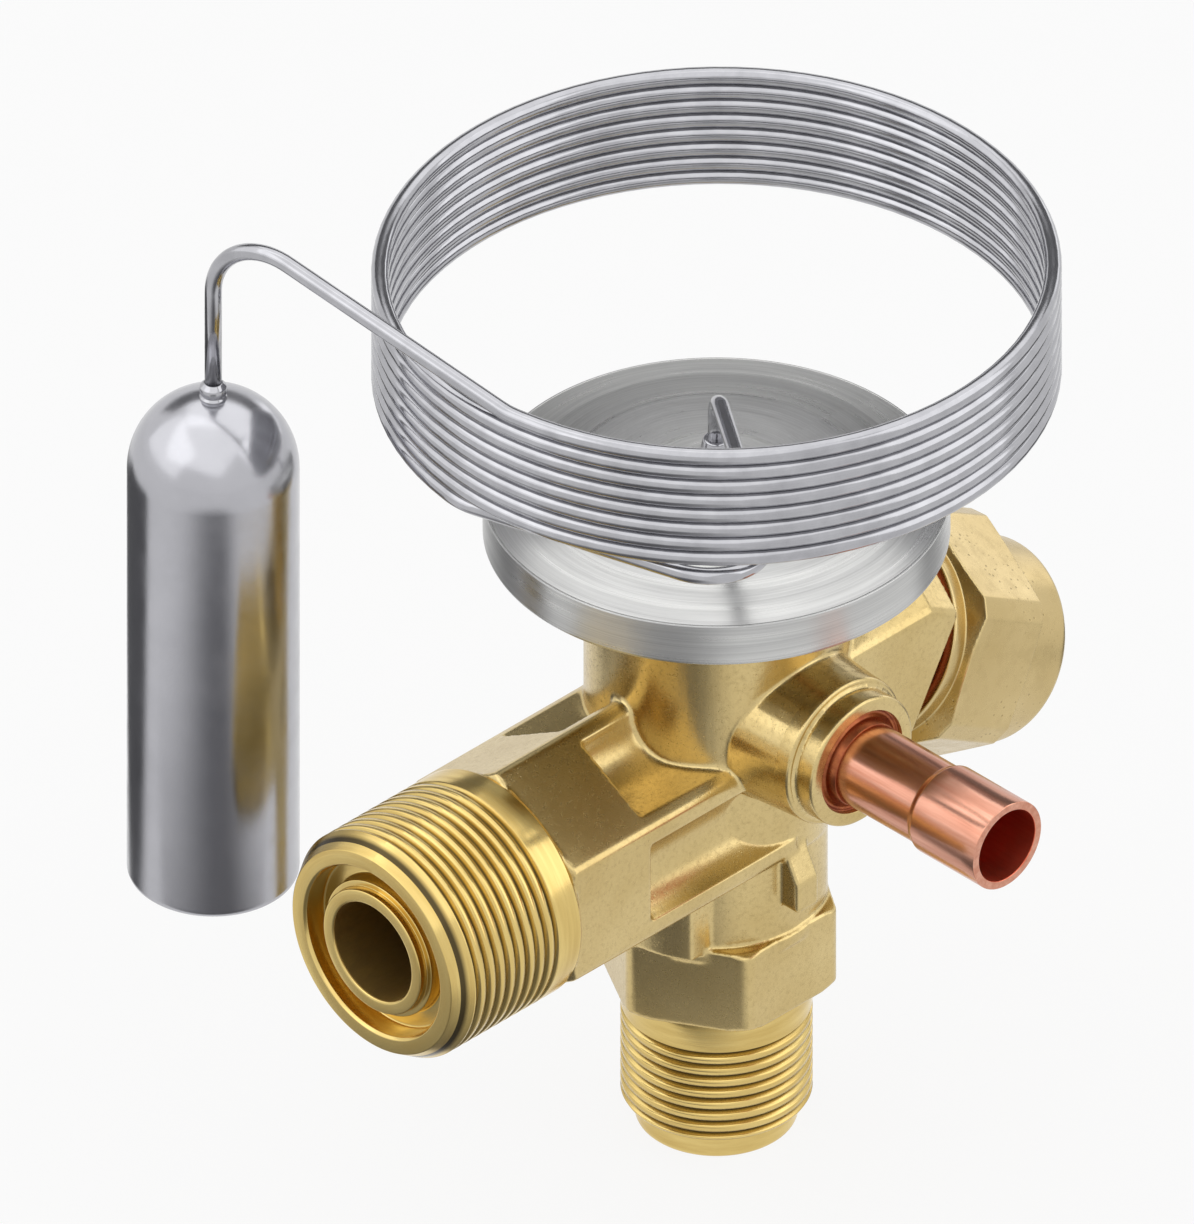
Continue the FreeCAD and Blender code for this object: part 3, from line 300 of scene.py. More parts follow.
# The copper bore's saturated red is a painted reflection of light bouncing inside the tube
boreLook = {"dark": "#d8664a", "light": "#e67c5e", "streak": 0.6, "stretch": (1, 1, 0.06), "rough": 0.4}
boreBrassLook = {"dark": "#a88a4a", "light": "#b8985a", "streak": 0.8, "stretch": (1, 1, 0.3), "rough": 0.5}
gasketLook = {"dark": "#85402c", "light": "#9b5139", "streak": 0.8, "rough": 0.3}
brazeLook = {"dark": "#8f4c34", "light": "#a9643f", "streak": 0.8, "rough": 0.3}
groundLook = {"dark": "#a3a3a3", "light": "#b2b2b0", "streak": 0.6, "rough": 0.26}
wireLook = {"dark": "#87878a", "light": "#98989a", "streak": 0.5, "rough": 0.3}
packingLook = {"dark": "#dddbd4", "light": "#ebe9e3", "streak": 0.9, "rough": 0.5, "metallic": 0.0}
rubberLook = {"dark": "#1b1b1c", "light": "#272728", "streak": 0.7, "rough": 0.6, "metallic": 0.0}

finishTable = {
    # Hot-forged brass, shot-blasted: satin gold with fine speckle, dull stains and bright worn edges
    "forgedBrass": (blastedMetal, forgedLook),
    # Cap turned from hexagon bar: paler and smoother, with small pits left on its flats
    "barBrass": (blastedMetal, capLook),
    # Threads and port faces cut on a lathe: brighter gold, fine rings, painted shade in the thread roots
    "inletThreadBrass": (turnedMetal, {**portLook, "crest": 7.95}),
    "outletThreadBrass": (turnedMetal, {**portLook, "crest": 10.33}),
    "turnedBrass": (turnedMetal, innerLook),
    # Stainless pressing brushed on a spindle: rings that spread light into soft fans, and painted dark and light
    # brush rings
    "brushedStainless": (turnedMetal, brushedLook),
    # Blasted stainless bulb: grey satin with a faint orange-peel
    "satinStainless": (blastedMetal, bulbLook),
    # Drawn stainless tube: polished, almost without grain
    "drawnStainless": (smoothFinish, capillaryLook),
    # Drawn copper: pink, polished, streaked along the tube, and duller inside, painted a saturated red as a
    # reflection of light bouncing in the bore
    "drawnCopper": (smoothFinish, copperLook),
    "copperBore": (smoothFinish, boreLook),
    # The drilled bore, duller than the turned faces
    "boreBrass": (smoothFinish, boreBrassLook),
    # Annealed copper washer: dark red, soft and slightly dull
    "annealedCopper": (smoothFinish, gasketLook),
    # Brazing alloy: reddish fillet, rippled where it froze
    "brazingAlloy": (smoothFinish, brazeLook),
    # Inner parts: ground steel, hard-drawn spring wire, white packing and black rubber
    "groundSteel": (smoothFinish, groundLook),
    "springWire": (smoothFinish, wireLook),
    "whitePacking": (smoothFinish, packingLook),
    "blackRubber": (smoothFinish, rubberLook),
}
finishes = {name: make(name, look) for name, (make, look) in finishTable.items()}
print("finishes made")


# Mesh building


def finished(piece, finish):
    piece.data.polygons.foreach_set("use_smooth", [True] * len(piece.data.polygons))
    piece.data.materials.append(finishes[finish])


def newPiece(name, vertices, faces, position, finish):
    mesh = bpy.data.meshes.new(name)
    mesh.from_pydata(vertices, [], faces)
    work = bmesh.new()
    work.from_mesh(mesh)
    bmesh.ops.recalc_face_normals(work, faces=work.faces)
    work.to_mesh(mesh)
    work.free()
    piece = bpy.data.objects.new(name, mesh)
    bpy.context.scene.collection.objects.link(piece)
    piece.matrix_world = position
    finished(piece, finish)
    return piece


def evenNormals(piece):
    # Large faces keep their own direction, so that rounded edges stay narrow
    even = piece.modifiers.new("evenNormals", "WEIGHTED_NORMAL")
    even.weight = 90
    return piece


def mount(piece, body, slotName, *nodes):
    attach(piece, body)
    if nodes:
        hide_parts(*nodes)


def rounded(corners, closed=False, arcSteps=5):
    # Each corner is a radius and a height, with an optional rounding
    outline = []
    count = len(corners)
    for index, corner in enumerate(corners):
        point = Vector(corner[:2])
        rounding = corner[2] if len(corner) > 2 else 0
        inside = closed or 0 < index < count - 1
        if rounding <= 0 or not inside:
            outline.append(tuple(point))
            continue
        before = Vector(corners[index - 1][:2]) - point
        after = Vector(corners[(index + 1) % count][:2]) - point
        half = before.angle(after) / 2
        setback = min(rounding / math.tan(half), before.length * 0.49, after.length * 0.49)
        start = point + before.normalized() * setback
        end = point + after.normalized() * setback
        for step in range(arcSteps + 1):
            share = step / arcSteps
            outline.append(tuple(start * (1 - share) ** 2 + point * 2 * share * (1 - share) + end * share ** 2))
    return outline


def divided(outline, spacing):
    # Adds points so that no run of the outline is longer than the spacing
    result = [outline[0]]
    for start, end in zip(outline, outline[1:]):
        pieces = max(1, math.ceil((Vector(end) - Vector(start)).length / spacing))
        for step in range(1, pieces + 1):
            result.append(tuple(Vector(start).lerp(Vector(end), step / pieces)))
    return result


def turnedPiece(name, outline, position, finish, closed=False, steps=160, flats=None, bore=None):
    # A solid of revolution: flats, where given, limits the radius at each angle, and
    # the bore is a radius and the finish of every face inside it
    vertices = []
    rings = []
    for radius, height in outline:
        if radius < tiny:
            rings.append([len(vertices)])
            vertices.append((0, 0, height * mm))
            continue
        rings.append(list(range(len(vertices), len(vertices) + steps)))
        for step in range(steps):
            angle = 2 * math.pi * step / steps
            reach = flats(angle, radius) if flats else radius
            vertices.append((reach * math.cos(angle) * mm, reach * math.sin(angle) * mm, height * mm))
    faces = []
    following = rings[1:] + rings[:1] if closed else rings[1:]
    for lower, upper in zip(rings, following):
        for step in range(steps):
            after = (step + 1) % steps
            if len(lower) == 1:
                faces.append((lower[0], upper[after], upper[step]))
            elif len(upper) == 1:
                faces.append((lower[step], lower[after], upper[0]))
            else:
                faces.append((lower[step], lower[after], upper[after], upper[step]))
    piece = evenNormals(newPiece(name, vertices, faces, position, finish))
    if bore:
        piece.data.materials.append(finishes[bore[1]])
        for polygon in piece.data.polygons:
            middle = polygon.center
            if math.hypot(middle.x, middle.y) < bore[0] * mm:
                polygon.material_index = 1
    return piece


def ridges(crest, first, count, samples=10):
    # Outline points of the V grooves between thread ridges, along the thread
    points = []
    for groove in range(count):
        middle = first + groove * thread["pitch"]
        for sample in range(samples + 1):
            offset = -1 + 2 * sample / samples
            sink = thread["depth"] * (1 - abs(offset)) ** thread["flank"]
            points.append((crest - sink, middle + offset * thread["halfWidth"]))
    return points


# Threads on both ports, as rings of V grooves at the photograph's spacing; a flank of 1 would be straight
thread = {"depth": 0.48, "halfWidth": 0.32, "pitch": 1.143, "flank": 0.9}


def addPorts():
    inlet = {"crest": 7.95, "nose": 6.78, "noseLength": 2.6, "threadEdge": 0.15, "threadEnd": 13.7, "bore": 5.2,
             "boreDepth": 4.0, "innerBore": 5.0, "firstGroove": 3.2, "grooves": 8, "insideTop": 16.0}
    outline = rounded([
        (inlet["innerBore"], inlet["insideTop"]),
        (inlet["innerBore"], inlet["boreDepth"], 0.1),
        (inlet["bore"], inlet["boreDepth"], 0.1),
        (inlet["bore"], 0.0, 0.35),
        (inlet["nose"], 0.0, 0.55),
        (inlet["nose"], inlet["noseLength"], 0.12),
        (inlet["crest"] - inlet["threadEdge"], inlet["noseLength"], 0.2),
    ])
    outline += ridges(inlet["crest"], inlet["firstGroove"], inlet["grooves"])
    outline += [(inlet["crest"], inlet["threadEnd"]), (inlet["crest"], inlet["insideTop"])]
    port = turnedPiece("inletPort", outline, uprightFrame, "inletThreadBrass", closed=True, steps=176)
    mount(port, "valve", "forged_brass")

    outlet = {"crest": 10.33, "root": 8.83, "start": 25.9, "front": outletReach, "face": 9.27, "chamfer": 1.72,
              "recess": 7.8, "recessDepth": 2.2, "mouth": 0.2, "mouthDepth": 0.25, "nozzle": 5.69, "collar": 6.2,
              "step": 0.8, "bore": 4.52, "firstGroove": 2.2, "grooves": 9, "inside": 22.0}
    lastGroove = outlet["front"] - outlet["firstGroove"] - (outlet["grooves"] - 1) * thread["pitch"]
    outline = [(outlet["bore"], outlet["inside"]), (outlet["root"], outlet["inside"])]
    outline += rounded([
        (outlet["root"], outlet["start"] - 0.4),
        (outlet["crest"] - 0.2, outlet["start"] - 0.05, 0.15),
        (outlet["crest"], outlet["start"] + 0.3, 0.1),
        (outlet["crest"], outlet["start"] + 1.0),
    ])
    outline += ridges(outlet["crest"], lastGroove, outlet["grooves"])
    depth = outlet["front"] - outlet["recessDepth"]
    outline += rounded([
        (outlet["crest"], outlet["front"] - outlet["chamfer"]),
        (outlet["face"], outlet["front"], 0.12),
        (outlet["recess"] + outlet["mouth"], outlet["front"], 0.15),
        (outlet["recess"], outlet["front"] - outlet["mouthDepth"], 0.15),
        (outlet["recess"], depth, 0.25),
        (outlet["collar"], depth, 0.25),
        (outlet["collar"], outlet["front"] - outlet["step"], 0.12),
        (outlet["nozzle"], outlet["front"] - outlet["step"], 0.1),
        (outlet["nozzle"], outlet["front"], 0.15),
        (outlet["bore"], outlet["front"], 0.25),
        (outlet["bore"], outlet["inside"] + 1),
    ])
    port = turnedPiece("outletPort", outline, outletFrame, "outletThreadBrass", closed=True, steps=192,
                       bore=(outlet["bore"] + 0.05, "boreBrass"))
    mount(port, "valve", "forged_brass")


# The equaliser boss: a drafted hub with a turned lip round the tube
def addBoss():
    boss = {"lip": 5.92, "lipTop": 17.08, "undercut": 0.12, "hub": 6.63, "hubTop": 15.0, "root": 6.7,
            "rootDepth": 1.6, "sunk": 2, "inside": 4.66}
    outline = rounded([
        (boss["inside"], boss["hubTop"] - boss["sunk"]),
        (boss["inside"], boss["lipTop"], 0.15),
        (boss["lip"], boss["lipTop"], 0.4),
        (boss["lip"], boss["hubTop"] + boss["undercut"], 0.06),
        (boss["lip"] - boss["undercut"], boss["hubTop"], 0.06),
        (boss["hub"], boss["hubTop"] - 0.03, 0.4),
        (boss["root"], boss["hubTop"] - boss["rootDepth"], 0.2),
        (boss["root"] - 0.25, boss["hubTop"] - boss["sunk"]),
    ], closed=True)
    piece = turnedPiece("equaliserBoss", outline, equaliserFrame, "forgedBrass", closed=True)
    mount(piece, "valve", "forged_brass")


# The forging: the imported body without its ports, blasted soft at every edge and corner. Its rib stands further
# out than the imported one, and the barrel is relieved beside it, so that the top of the wrench hexagon shows.
forging = {"outletCut": 26.1, "inletCut": 14.5, "voxel": 0.17, "smoothing": 5, "keep": 0.25}
rib = {"left": 1.17, "right": -1.26,
       "profile": [(6.5, 25.8), (10.7, 25.8), (10.7, 28.5), (9.25, 31.4), (6.5, 31.4)]}
relief = {"radius": 8.7, "fadedRadius": 9.25, "fullAngle": 100, "fadedAngle": 128, "steps": 40, "padSide": 5.82,
          "left": 9.5, "clear": 12.0, "bottom": 22.6, "top": 34.0, "armCorner": 25.29, "armSlope": 30}
# The fillet where the neck runs into the sunk faces of the arm: the scoops' round bottoms and where they lie
neckFillet = {"neck": 11.0, "shelf": 42.35, "scoop": 4.05, "ridge": 1.15, "reach": 3.2, "side": 8.6,
              "sideFade": 1.0, "front": 3.5, "smoothing": 40}


def trimmed(work, point, direction):
    # Cuts away what lies beyond the plane, and closes the cut
    geometry = work.verts[:] + work.edges[:] + work.faces[:]
    cut = bmesh.ops.bisect_plane(work, geom=geometry, plane_co=point, plane_no=direction, clear_outer=True)
    rim = [item for item in cut["geom_cut"] if isinstance(item, bmesh.types.BMEdge)]
    bmesh.ops.triangle_fill(work, use_beauty=True, edges=rim)


def applied(piece):
    # The piece keeps the mesh that its modifiers make
    evaluated = piece.evaluated_get(bpy.context.evaluated_depsgraph_get())
    mesh = bpy.data.meshes.new_from_object(evaluated)
    piece.modifiers.clear()
    piece.data = mesh


def filletShare(point):
    # How far a point of the body, in metres, takes part in the fillet, from 0 to 1
    size = neckFillet
    x, y, z = (value / mm for value in point)
    side = abs(y)
    if x < size["front"] or side > size["side"]:
        return 0.0
    across = max(0.0, size["ridge"] + size["scoop"] - max(side, size["ridge"]))
    floor = size["shelf"] + size["scoop"] - math.sqrt(max(0.0, size["scoop"] ** 2 - across ** 2))
    away = math.hypot(math.hypot(x, y) - size["neck"], z - floor) / size["reach"]
    share = max(0.0, 1 - away) * min(1.0, (size["side"] - side) / size["sideFade"])
    return share * share * (3 - 2 * share)


def extruded(outline, start, end):
    # A prism, from the outline's points where start puts them to where end does
    work = bmesh.new()
    first = [work.verts.new(Vector(start(*point)) * mm) for point in outline]
    last = [work.verts.new(Vector(end(*point)) * mm) for point in outline]
    work.faces.new(first)
    work.faces.new(last)
    for index in range(len(outline)):
        after = (index + 1) % len(outline)
        work.faces.new((first[index], first[after], last[after], last[index]))
    bmesh.ops.recalc_face_normals(work, faces=work.faces)
    return work


def helper(name, work):
    mesh = bpy.data.meshes.new(name)
    work.to_mesh(mesh)
    work.free()
    piece = bpy.data.objects.new(name, mesh)
    bpy.context.scene.collection.objects.link(piece)
    return piece


def smoothed(piece, passes, group=None):
    smooth = piece.modifiers.new("smooth", "SMOOTH")
    smooth.factor = 0.5
    smooth.iterations = passes
    if group:
        smooth.vertex_group = group.name


def reliefCutter():
    firstAngle = math.radians(relief["fadedAngle"])
    lastAngle = math.asin(relief["padSide"] / relief["radius"])
    outline = []
    for step in range(relief["steps"] + 1):
        angle = firstAngle + (lastAngle - firstAngle) * step / relief["steps"]
        fade = (math.degrees(angle) - relief["fullAngle"]) / (relief["fadedAngle"] - relief["fullAngle"])
        radius = relief["radius"] + (relief["fadedRadius"] - relief["radius"]) * max(0, fade)
        outline.append((radius * math.cos(angle), radius * math.sin(angle)))
    outline += [(relief["left"], relief["padSide"]), (relief["left"], relief["clear"])]
    outline.append((outline[0][0], relief["clear"]))
    work = extruded(outline, lambda x, y: (x, y, relief["bottom"]), lambda x, y: (x, y, relief["top"]))
    slope = math.radians(relief["armSlope"])
    trimmed(work, (0, 0, relief["armCorner"] * mm), (0, -math.sin(slope), math.cos(slope)))
    return helper("relief", work)


def addForging():
    work = bmesh.new()
    work.from_mesh(frame["nodes"]["valve_body"].data)
    bmesh.ops.remove_doubles(work, verts=work.verts, dist=tiny)
    trimmed(work, (forging["outletCut"] * mm, 0, 0), (1, 0, 0))
    trimmed(work, (0, 0, forging["inletCut"] * mm), (0, 0, -1))
    piece = helper("forging", work)
    cutter = reliefCutter()
    work = extruded(rib["profile"], lambda y, z: (rib["left"], y, z), lambda y, z: (rib["right"], y, z))
    added = helper("rib", work)
    for name, operation, other in (("relief", "DIFFERENCE", cutter), ("rib", "UNION", added)):
        change = piece.modifiers.new(name, "BOOLEAN")
        change.operation = operation
        change.object = other
    remesh = piece.modifiers.new("remesh", "REMESH")
    remesh.mode = "VOXEL"
    remesh.voxel_size = forging["voxel"] * mm
    smoothed(piece, forging["smoothing"])
    applied(piece)
    for other in (cutter, added):
        bpy.data.objects.remove(other)
    group = piece.vertex_groups.new(name="neckFillet")
    for vertex in piece.data.vertices:
        share = filletShare(vertex.co)
        if share > 0:
            group.add([vertex.index], share, "REPLACE")
    smoothed(piece, neckFillet["smoothing"], group)
    fewer = piece.modifiers.new("fewer", "DECIMATE")
    fewer.ratio = forging["keep"]
    applied(piece)
    piece.vertex_groups.clear()
    piece.data.materials.clear()
    finished(piece, "forgedBrass")
    mount(piece, "valve", "forged_brass", "valve_body")
    print("forging faces", len(piece.data.polygons))


# Seal cap: six flats with narrow bevels between them, coned to a flange and a round end
cap = {"start": 20.35, "flange": 9.2, "flangeLength": 1.45, "coneLength": 0.7, "hexLength": 7.4, "apothem": 9.9,
       "bevel": 4.85, "turn": -3.7, "endRadius": 8.75, "endCone": 0.4, "length": 15.75, "endRound": 0.6,
       "cavity": 6.1, "cavityDepth": 13.15, "cavityCone": 1.5, "drillPoint": 1.4, "sharpness": 400, "steps": 360,
       "spacing": 0.22}


def blend(limits, power):
    # The smallest limit, with a short round where two of them meet
    least = min(limits)
    return least * sum((least / limit) ** power for limit in limits) ** (-1 / power)


def capCorner():
    return cap["apothem"] / math.cos(math.radians(30 - cap["bevel"]))


def capFlats(angle, radius):
    limits = [radius]
    for step in range(6):
        bevelTurn = math.radians(cap["turn"] + 60 * step)
        flatTurn = bevelTurn + math.radians(30)
        bevelApothem = capCorner() * math.cos(math.radians(cap["bevel"]))
        for turn, apothem in ((bevelTurn, bevelApothem), (flatTurn, cap["apothem"])):
            facing = math.cos(angle - turn)
            if facing > 0.5:
                limits.append(apothem / facing)
    return blend(limits, cap["sharpness"])


def addCap():
    corner = capCorner() + 0.1
    hexStart = cap["start"] + cap["flangeLength"]
    hexLow = hexStart + cap["coneLength"]
    hexHigh = hexLow + cap["hexLength"]
    end = cap["start"] + cap["length"]
    cavityEnd = cap["start"] + cap["cavityDepth"]
    outline = rounded([
        (0.0, cavityEnd),
        (cap["cavity"] - cap["drillPoint"], cavityEnd, 0.2),
        (cap["cavity"], cavityEnd - cap["cavityCone"], 0.2),
        (cap["cavity"], cap["start"], 0.15),
        (cap["flange"], cap["start"], 0.3),
        (cap["flange"], hexStart, 0.15),
        (corner, hexLow, 0.1),
        (corner, hexHigh, 0.1),
        (cap["endRadius"], hexHigh + cap["endCone"], 0.3),
        (cap["endRadius"], end, cap["endRound"]),
        (0.0, end),
    ])
    outline = divided(outline, cap["spacing"])
    piece = turnedPiece("cap", outline, settingFrame, "barBrass", steps=cap["steps"], flats=capFlats)
    mount(piece, "cap", "turned_brass", "seal_cap")


def addGasket():
    washer = {"hole": 6.1, "radius": 8.4, "low": 18.7, "high": 20.35, "outerRound": 0.5, "innerRound": 0.2}
    outline = rounded([
        (washer["hole"], washer["low"], washer["innerRound"]),
        (washer["radius"], washer["low"], washer["outerRound"]),
        (washer["radius"], washer["high"], washer["outerRound"]),
        (washer["hole"], washer["high"], washer["innerRound"]),
    ], closed=True)
    piece = turnedPiece("gasket", outline, settingFrame, "annealedCopper", closed=True)
    mount(piece, "gasket", "copper", "cap_gasket")


# Element: a turned steel disc with a low dished cover and a stepped fitting in the middle
def addElement():
    base = {"hole": 8.0, "rim": 19.34, "seam": 19.12, "seamDepth": 0.3, "steps": 240}
    outline = rounded([
        (base["hole"], elementBottom),
        (base["rim"], elementBottom, 0.35),
        (base["rim"], elementTop, 0.16),
        (base["seam"], elementTop),
        (base["seam"], elementTop - base["seamDepth"]),
        (base["hole"], elementTop - base["seamDepth"]),
    ], closed=True)
    piece = turnedPiece("elementBase", outline, uprightFrame, "brushedStainless", closed=True, steps=base["steps"])
    mount(piece, "valve", "brushed_stainless", "element_base")
    cover = {"edge": 19.1, "shoulder": 16.0, "shoulderRise": 0.7, "plateau": 12.3, "plateauRise": 1.3,
             "dome": 6.8, "domeBend": 5.6, "domeRise": 0.72, "domeTop": 3.2, "hole": 1.25, "thick": 0.9,
             "steps": 240}
    plateau = elementTop + cover["plateauRise"]
    outline = rounded([
        (cover["hole"], plateau - cover["thick"]),
        (cover["edge"], elementTop - 0.5),
        (cover["edge"], elementTop + 0.01, 0.02),
        (cover["shoulder"], elementTop + cover["shoulderRise"], 2.5),
        (cover["plateau"], plateau, 2.0),
        (cover["dome"], plateau, 0.5),
        (cover["domeBend"], plateau + cover["domeRise"], 0.8),
        (cover["domeTop"], coverTop, 0.6),
        (cover["hole"], coverTop),
    ])
    piece = turnedPiece("elementCover", outline, uprightFrame, "brushedStainless", closed=True, steps=cover["steps"])
    mount(piece, "valve", "brushed_stainless", "element_cover")
    fitting = {"stem": 1.25, "sunk": 2, "flange": 2.7, "flangeEdge": 2.55, "flangeRise": 0.45, "foot": 1.7,
               "footRise": 0.75, "waist": 1.4, "waistRise": 1.5, "tip": 1.1, "tipLength": 0.6}
    outline = rounded([
        (0.0, coverTop - fitting["sunk"]),
        (fitting["stem"], coverTop - fitting["sunk"]),
        (fitting["stem"], coverTop),
        (fitting["flange"], coverTop, 0.1),
        (fitting["flangeEdge"], coverTop + fitting["flangeRise"], 0.25),
        (fitting["foot"], coverTop + fitting["footRise"], 0.3),
        (fitting["waist"], coverTop + fitting["waistRise"], 0.3),
        (fitting["stem"], fittingTop - fitting["tipLength"], 0.2),
        (fitting["tip"], fittingTop, 0.2),
        (0.0, fittingTop),
    ])
    piece = turnedPiece("capillaryFitting", outline, uprightFrame, "drawnStainless", steps=96)
    mount(piece, "valve", "stainless", "capillary_fitting")


# Sensing bulb: a blasted barrel with a spun dome and the swaged collar of its tube
def addBulb():
    bulb = {"radius": 7.15, "bottomRound": 0.8, "domeSteps": 24}
    shoulder = bulbTop - bulb["radius"]
    outline = rounded([
        (0.0, bulbBottom),
        (bulb["radius"], bulbBottom, bulb["bottomRound"]),
        (bulb["radius"], shoulder),
    ])
    for step in range(1, bulb["domeSteps"]):
        angle = math.pi / 2 * step / bulb["domeSteps"]
        outline.append((bulb["radius"] * math.cos(angle), shoulder + bulb["radius"] * math.sin(angle)))
    outline.append((0.0, bulbTop))
    piece = turnedPiece("bulb", outline, bulbFrame, "satinStainless", steps=176)
    mount(piece, "valve", "satin_stainless", "sensing_bulb")
    collar = {"hole": 0.7, "radius": 1.15, "groove": 0.93, "tip": 0.78, "low": -0.6, "grooveLow": 0.1,
              "grooveMiddle": 0.3, "grooveHigh": 0.5, "shoulder": 1.1, "high": 1.5}
    outline = rounded([
        (collar["hole"], bulbTop + collar["low"]),
        (collar["radius"], bulbTop + collar["low"]),
        (collar["radius"], bulbTop + collar["grooveLow"], 0.08),
        (collar["groove"], bulbTop + collar["grooveMiddle"], 0.1),
        (collar["radius"], bulbTop + collar["grooveHigh"], 0.15),
        (collar["radius"], bulbTop + collar["shoulder"], 0.25),
        (collar["tip"], bulbTop + collar["high"], 0.1),
        (collar["hole"], bulbTop + collar["high"]),
    ])
    piece = turnedPiece("bulbCollar", outline, bulbFrame, "drawnStainless", closed=True, steps=72)
    mount(piece, "valve", "satin_stainless", "bulb_ferrule")


# Equaliser: copper tube with an expanded cup, in a ring of braze metal
def addEqualiser():
    tube = {"radius": 3.64, "bore": 2.89, "cup": 4.0, "cupBore": 3.26, "cupLength": 7.4, "ramp": 0.6,
            "start": 12.7, "spacing": 1.5}
    cupStart = equaliserReach - tube["cupLength"]
    outline = rounded([
        (tube["bore"], tube["start"]),
        (tube["radius"], tube["start"], 0.05),
        (tube["radius"], cupStart - tube["ramp"], 0.4),
        (tube["cup"], cupStart, 0.5),
        (tube["cup"], equaliserReach, 0.12),
        (tube["cupBore"], equaliserReach, 0.12),
        (tube["cupBore"], cupStart + 0.4, 0.3),
        (tube["bore"], cupStart - 0.1, 0.3),
    ], closed=True)
    outline = divided(outline + outline[:1], tube["spacing"])[:-1]
    piece = turnedPiece("equaliserTube", outline, equaliserFrame, "drawnCopper", closed=True,
                        bore=(tube["cupBore"] + 0.05, "copperBore"))
    mount(piece, "valve", "copper", "equaliser_tube")
    braze = {"inside": 3.6, "outside": 4.65, "low": 15.9, "rim": 16.75, "sunk": 16.35, "high": 17.6}
    outline = rounded([
        (braze["inside"], braze["low"]),
        (braze["outside"], braze["low"]),
        (braze["outside"] + 0.05, braze["rim"], 0.1),
        (braze["outside"] - 0.3, braze["sunk"], 0.35),
        (braze["inside"] + 0.35, braze["rim"], 0.35),
        (braze["inside"] + 0.1, braze["high"], 0.1),
        (braze["inside"], braze["high"]),
    ], closed=True)
    piece = turnedPiece("equaliserBraze", outline, equaliserFrame, "brazingAlloy", closed=True, steps=120)
    mount(piece, "valve", "braze", "equaliser_braze")


# Capillary: one drawn tube from the bulb over an arch, down the coil and back into the element
capillary = {"radius": 0.72, "sides": 20, "coilRadius": 27.84, "pitch": 1.45, "turns": 7.953, "endRise": 11.86,
             "endAngle": -7.22, "lead": 1.5, "tailSlope": 0.27, "tailRun": 31.25, "bulbBend": 6.0, "leadBend": 6.0,
             "loopBend": 5.0, "hookBend": 2.3, "legRise": 4.5, "loopOut": 4.26, "loopBearing": 55.3,
             "loopRise": 5.35, "stepAngle": 4.0}


def bearing(angle, distance, height):
    # The point at this angle and distance about the valve's upright axis
    turn = math.radians(angle)
    return Vector((distance * math.cos(turn), distance * math.sin(turn), height))


def roundedLine(points, radii, stepAngle):
    # The line through these points, with a round bend at each corner
    line = [points[0]]
    for before, corner, after, radius in zip(points, points[1:], points[2:], radii):
        back = (before - corner).normalized()
        ahead = (after - corner).normalized()
        half = back.angle(ahead) / 2
        inwards = (back + ahead).normalized()
        centre = corner + inwards * (radius / math.sin(half))
        first = corner + back * (radius / math.tan(half)) - centre
        last = corner + ahead * (radius / math.tan(half)) - centre
        turn = first.angle(last)
        axis = first.cross(last).normalized()
        steps = max(2, math.ceil(math.degrees(turn) / stepAngle))
        for step in range(steps + 1):
            line.append(centre + Quaternion(axis, turn * step / steps) @ first)
    line.append(points[-1])
    return line


def capillaryLine():
    size = capillary
    drop = size["pitch"] / (2 * math.pi * size["coilRadius"])
    coilEnd = elementTop + size["endRise"]
    coilStart = coilEnd + size["pitch"] * size["turns"]
    startAngle = size["endAngle"] - 360 * size["turns"]
    count = math.ceil(360 * size["turns"] / size["stepAngle"])
    coil = []
    for step in range(count + 1):
        share = step / count
        angle = startAngle + 360 * size["turns"] * share
        coil.append(bearing(angle, size["coilRadius"], coilStart - size["pitch"] * size["turns"] * share))
    startAhead = (bearing(startAngle + 90, 1, 0) - Vector((0, 0, drop))).normalized()
    endAhead = (bearing(size["endAngle"] + 90, 1, 0) - Vector((0, 0, drop))).normalized()
    lead = coil[0] - startAhead * size["lead"]
    crown = Vector((bulbAxis.x, bulbAxis.y, lead.z + size["tailSlope"] * (size["tailRun"] - size["lead"])))
    socket = Vector((bulbAxis.x, bulbAxis.y, bulbTop - 0.5))
    tail = roundedLine([socket, crown, lead, coil[0]], [size["bulbBend"], size["leadBend"]], size["stepAngle"])
    follow = coil[-1] + endAhead * size["lead"]
    loop = bearing(size["loopBearing"], size["coilRadius"] + size["loopOut"], fittingTop + size["loopRise"])
    hook = Vector((0, 0, fittingTop + size["legRise"]))
    fitting = Vector((0, 0, fittingTop - 1))
    radii = [size["leadBend"], size["loopBend"], size["hookBend"]]
    leg = roundedLine([coil[-1], follow, loop, hook, fitting], radii, size["stepAngle"])
    return tail[:-1] + coil + leg[1:]


def tubeAlong(name, line, radius, sides, finish):
    vertices = []
    faces = []
    side = None
    for index, point in enumerate(line):
        ahead = (line[min(index + 1, len(line) - 1)] - line[max(index - 1, 0)]).normalized()
        if side is None:
            side = ahead.orthogonal().normalized()
        side = (side - ahead * side.dot(ahead)).normalized()
        over = ahead.cross(side)
        for step in range(sides):
            angle = 2 * math.pi * step / sides
            spot = point + (side * math.cos(angle) + over * math.sin(angle)) * radius
            vertices.append(tuple(spot * mm))
    for index in range(len(line) - 1):
        for step in range(sides):
            after = (step + 1) % sides
            low = index * sides
            faces.append((low + step, low + after, low + sides + after, low + sides + step))
    faces.append(tuple(range(sides - 1, -1, -1)))
    faces.append(tuple(range(len(vertices) - sides, len(vertices))))
    return newPiece(name, vertices, faces, uprightFrame, finish)


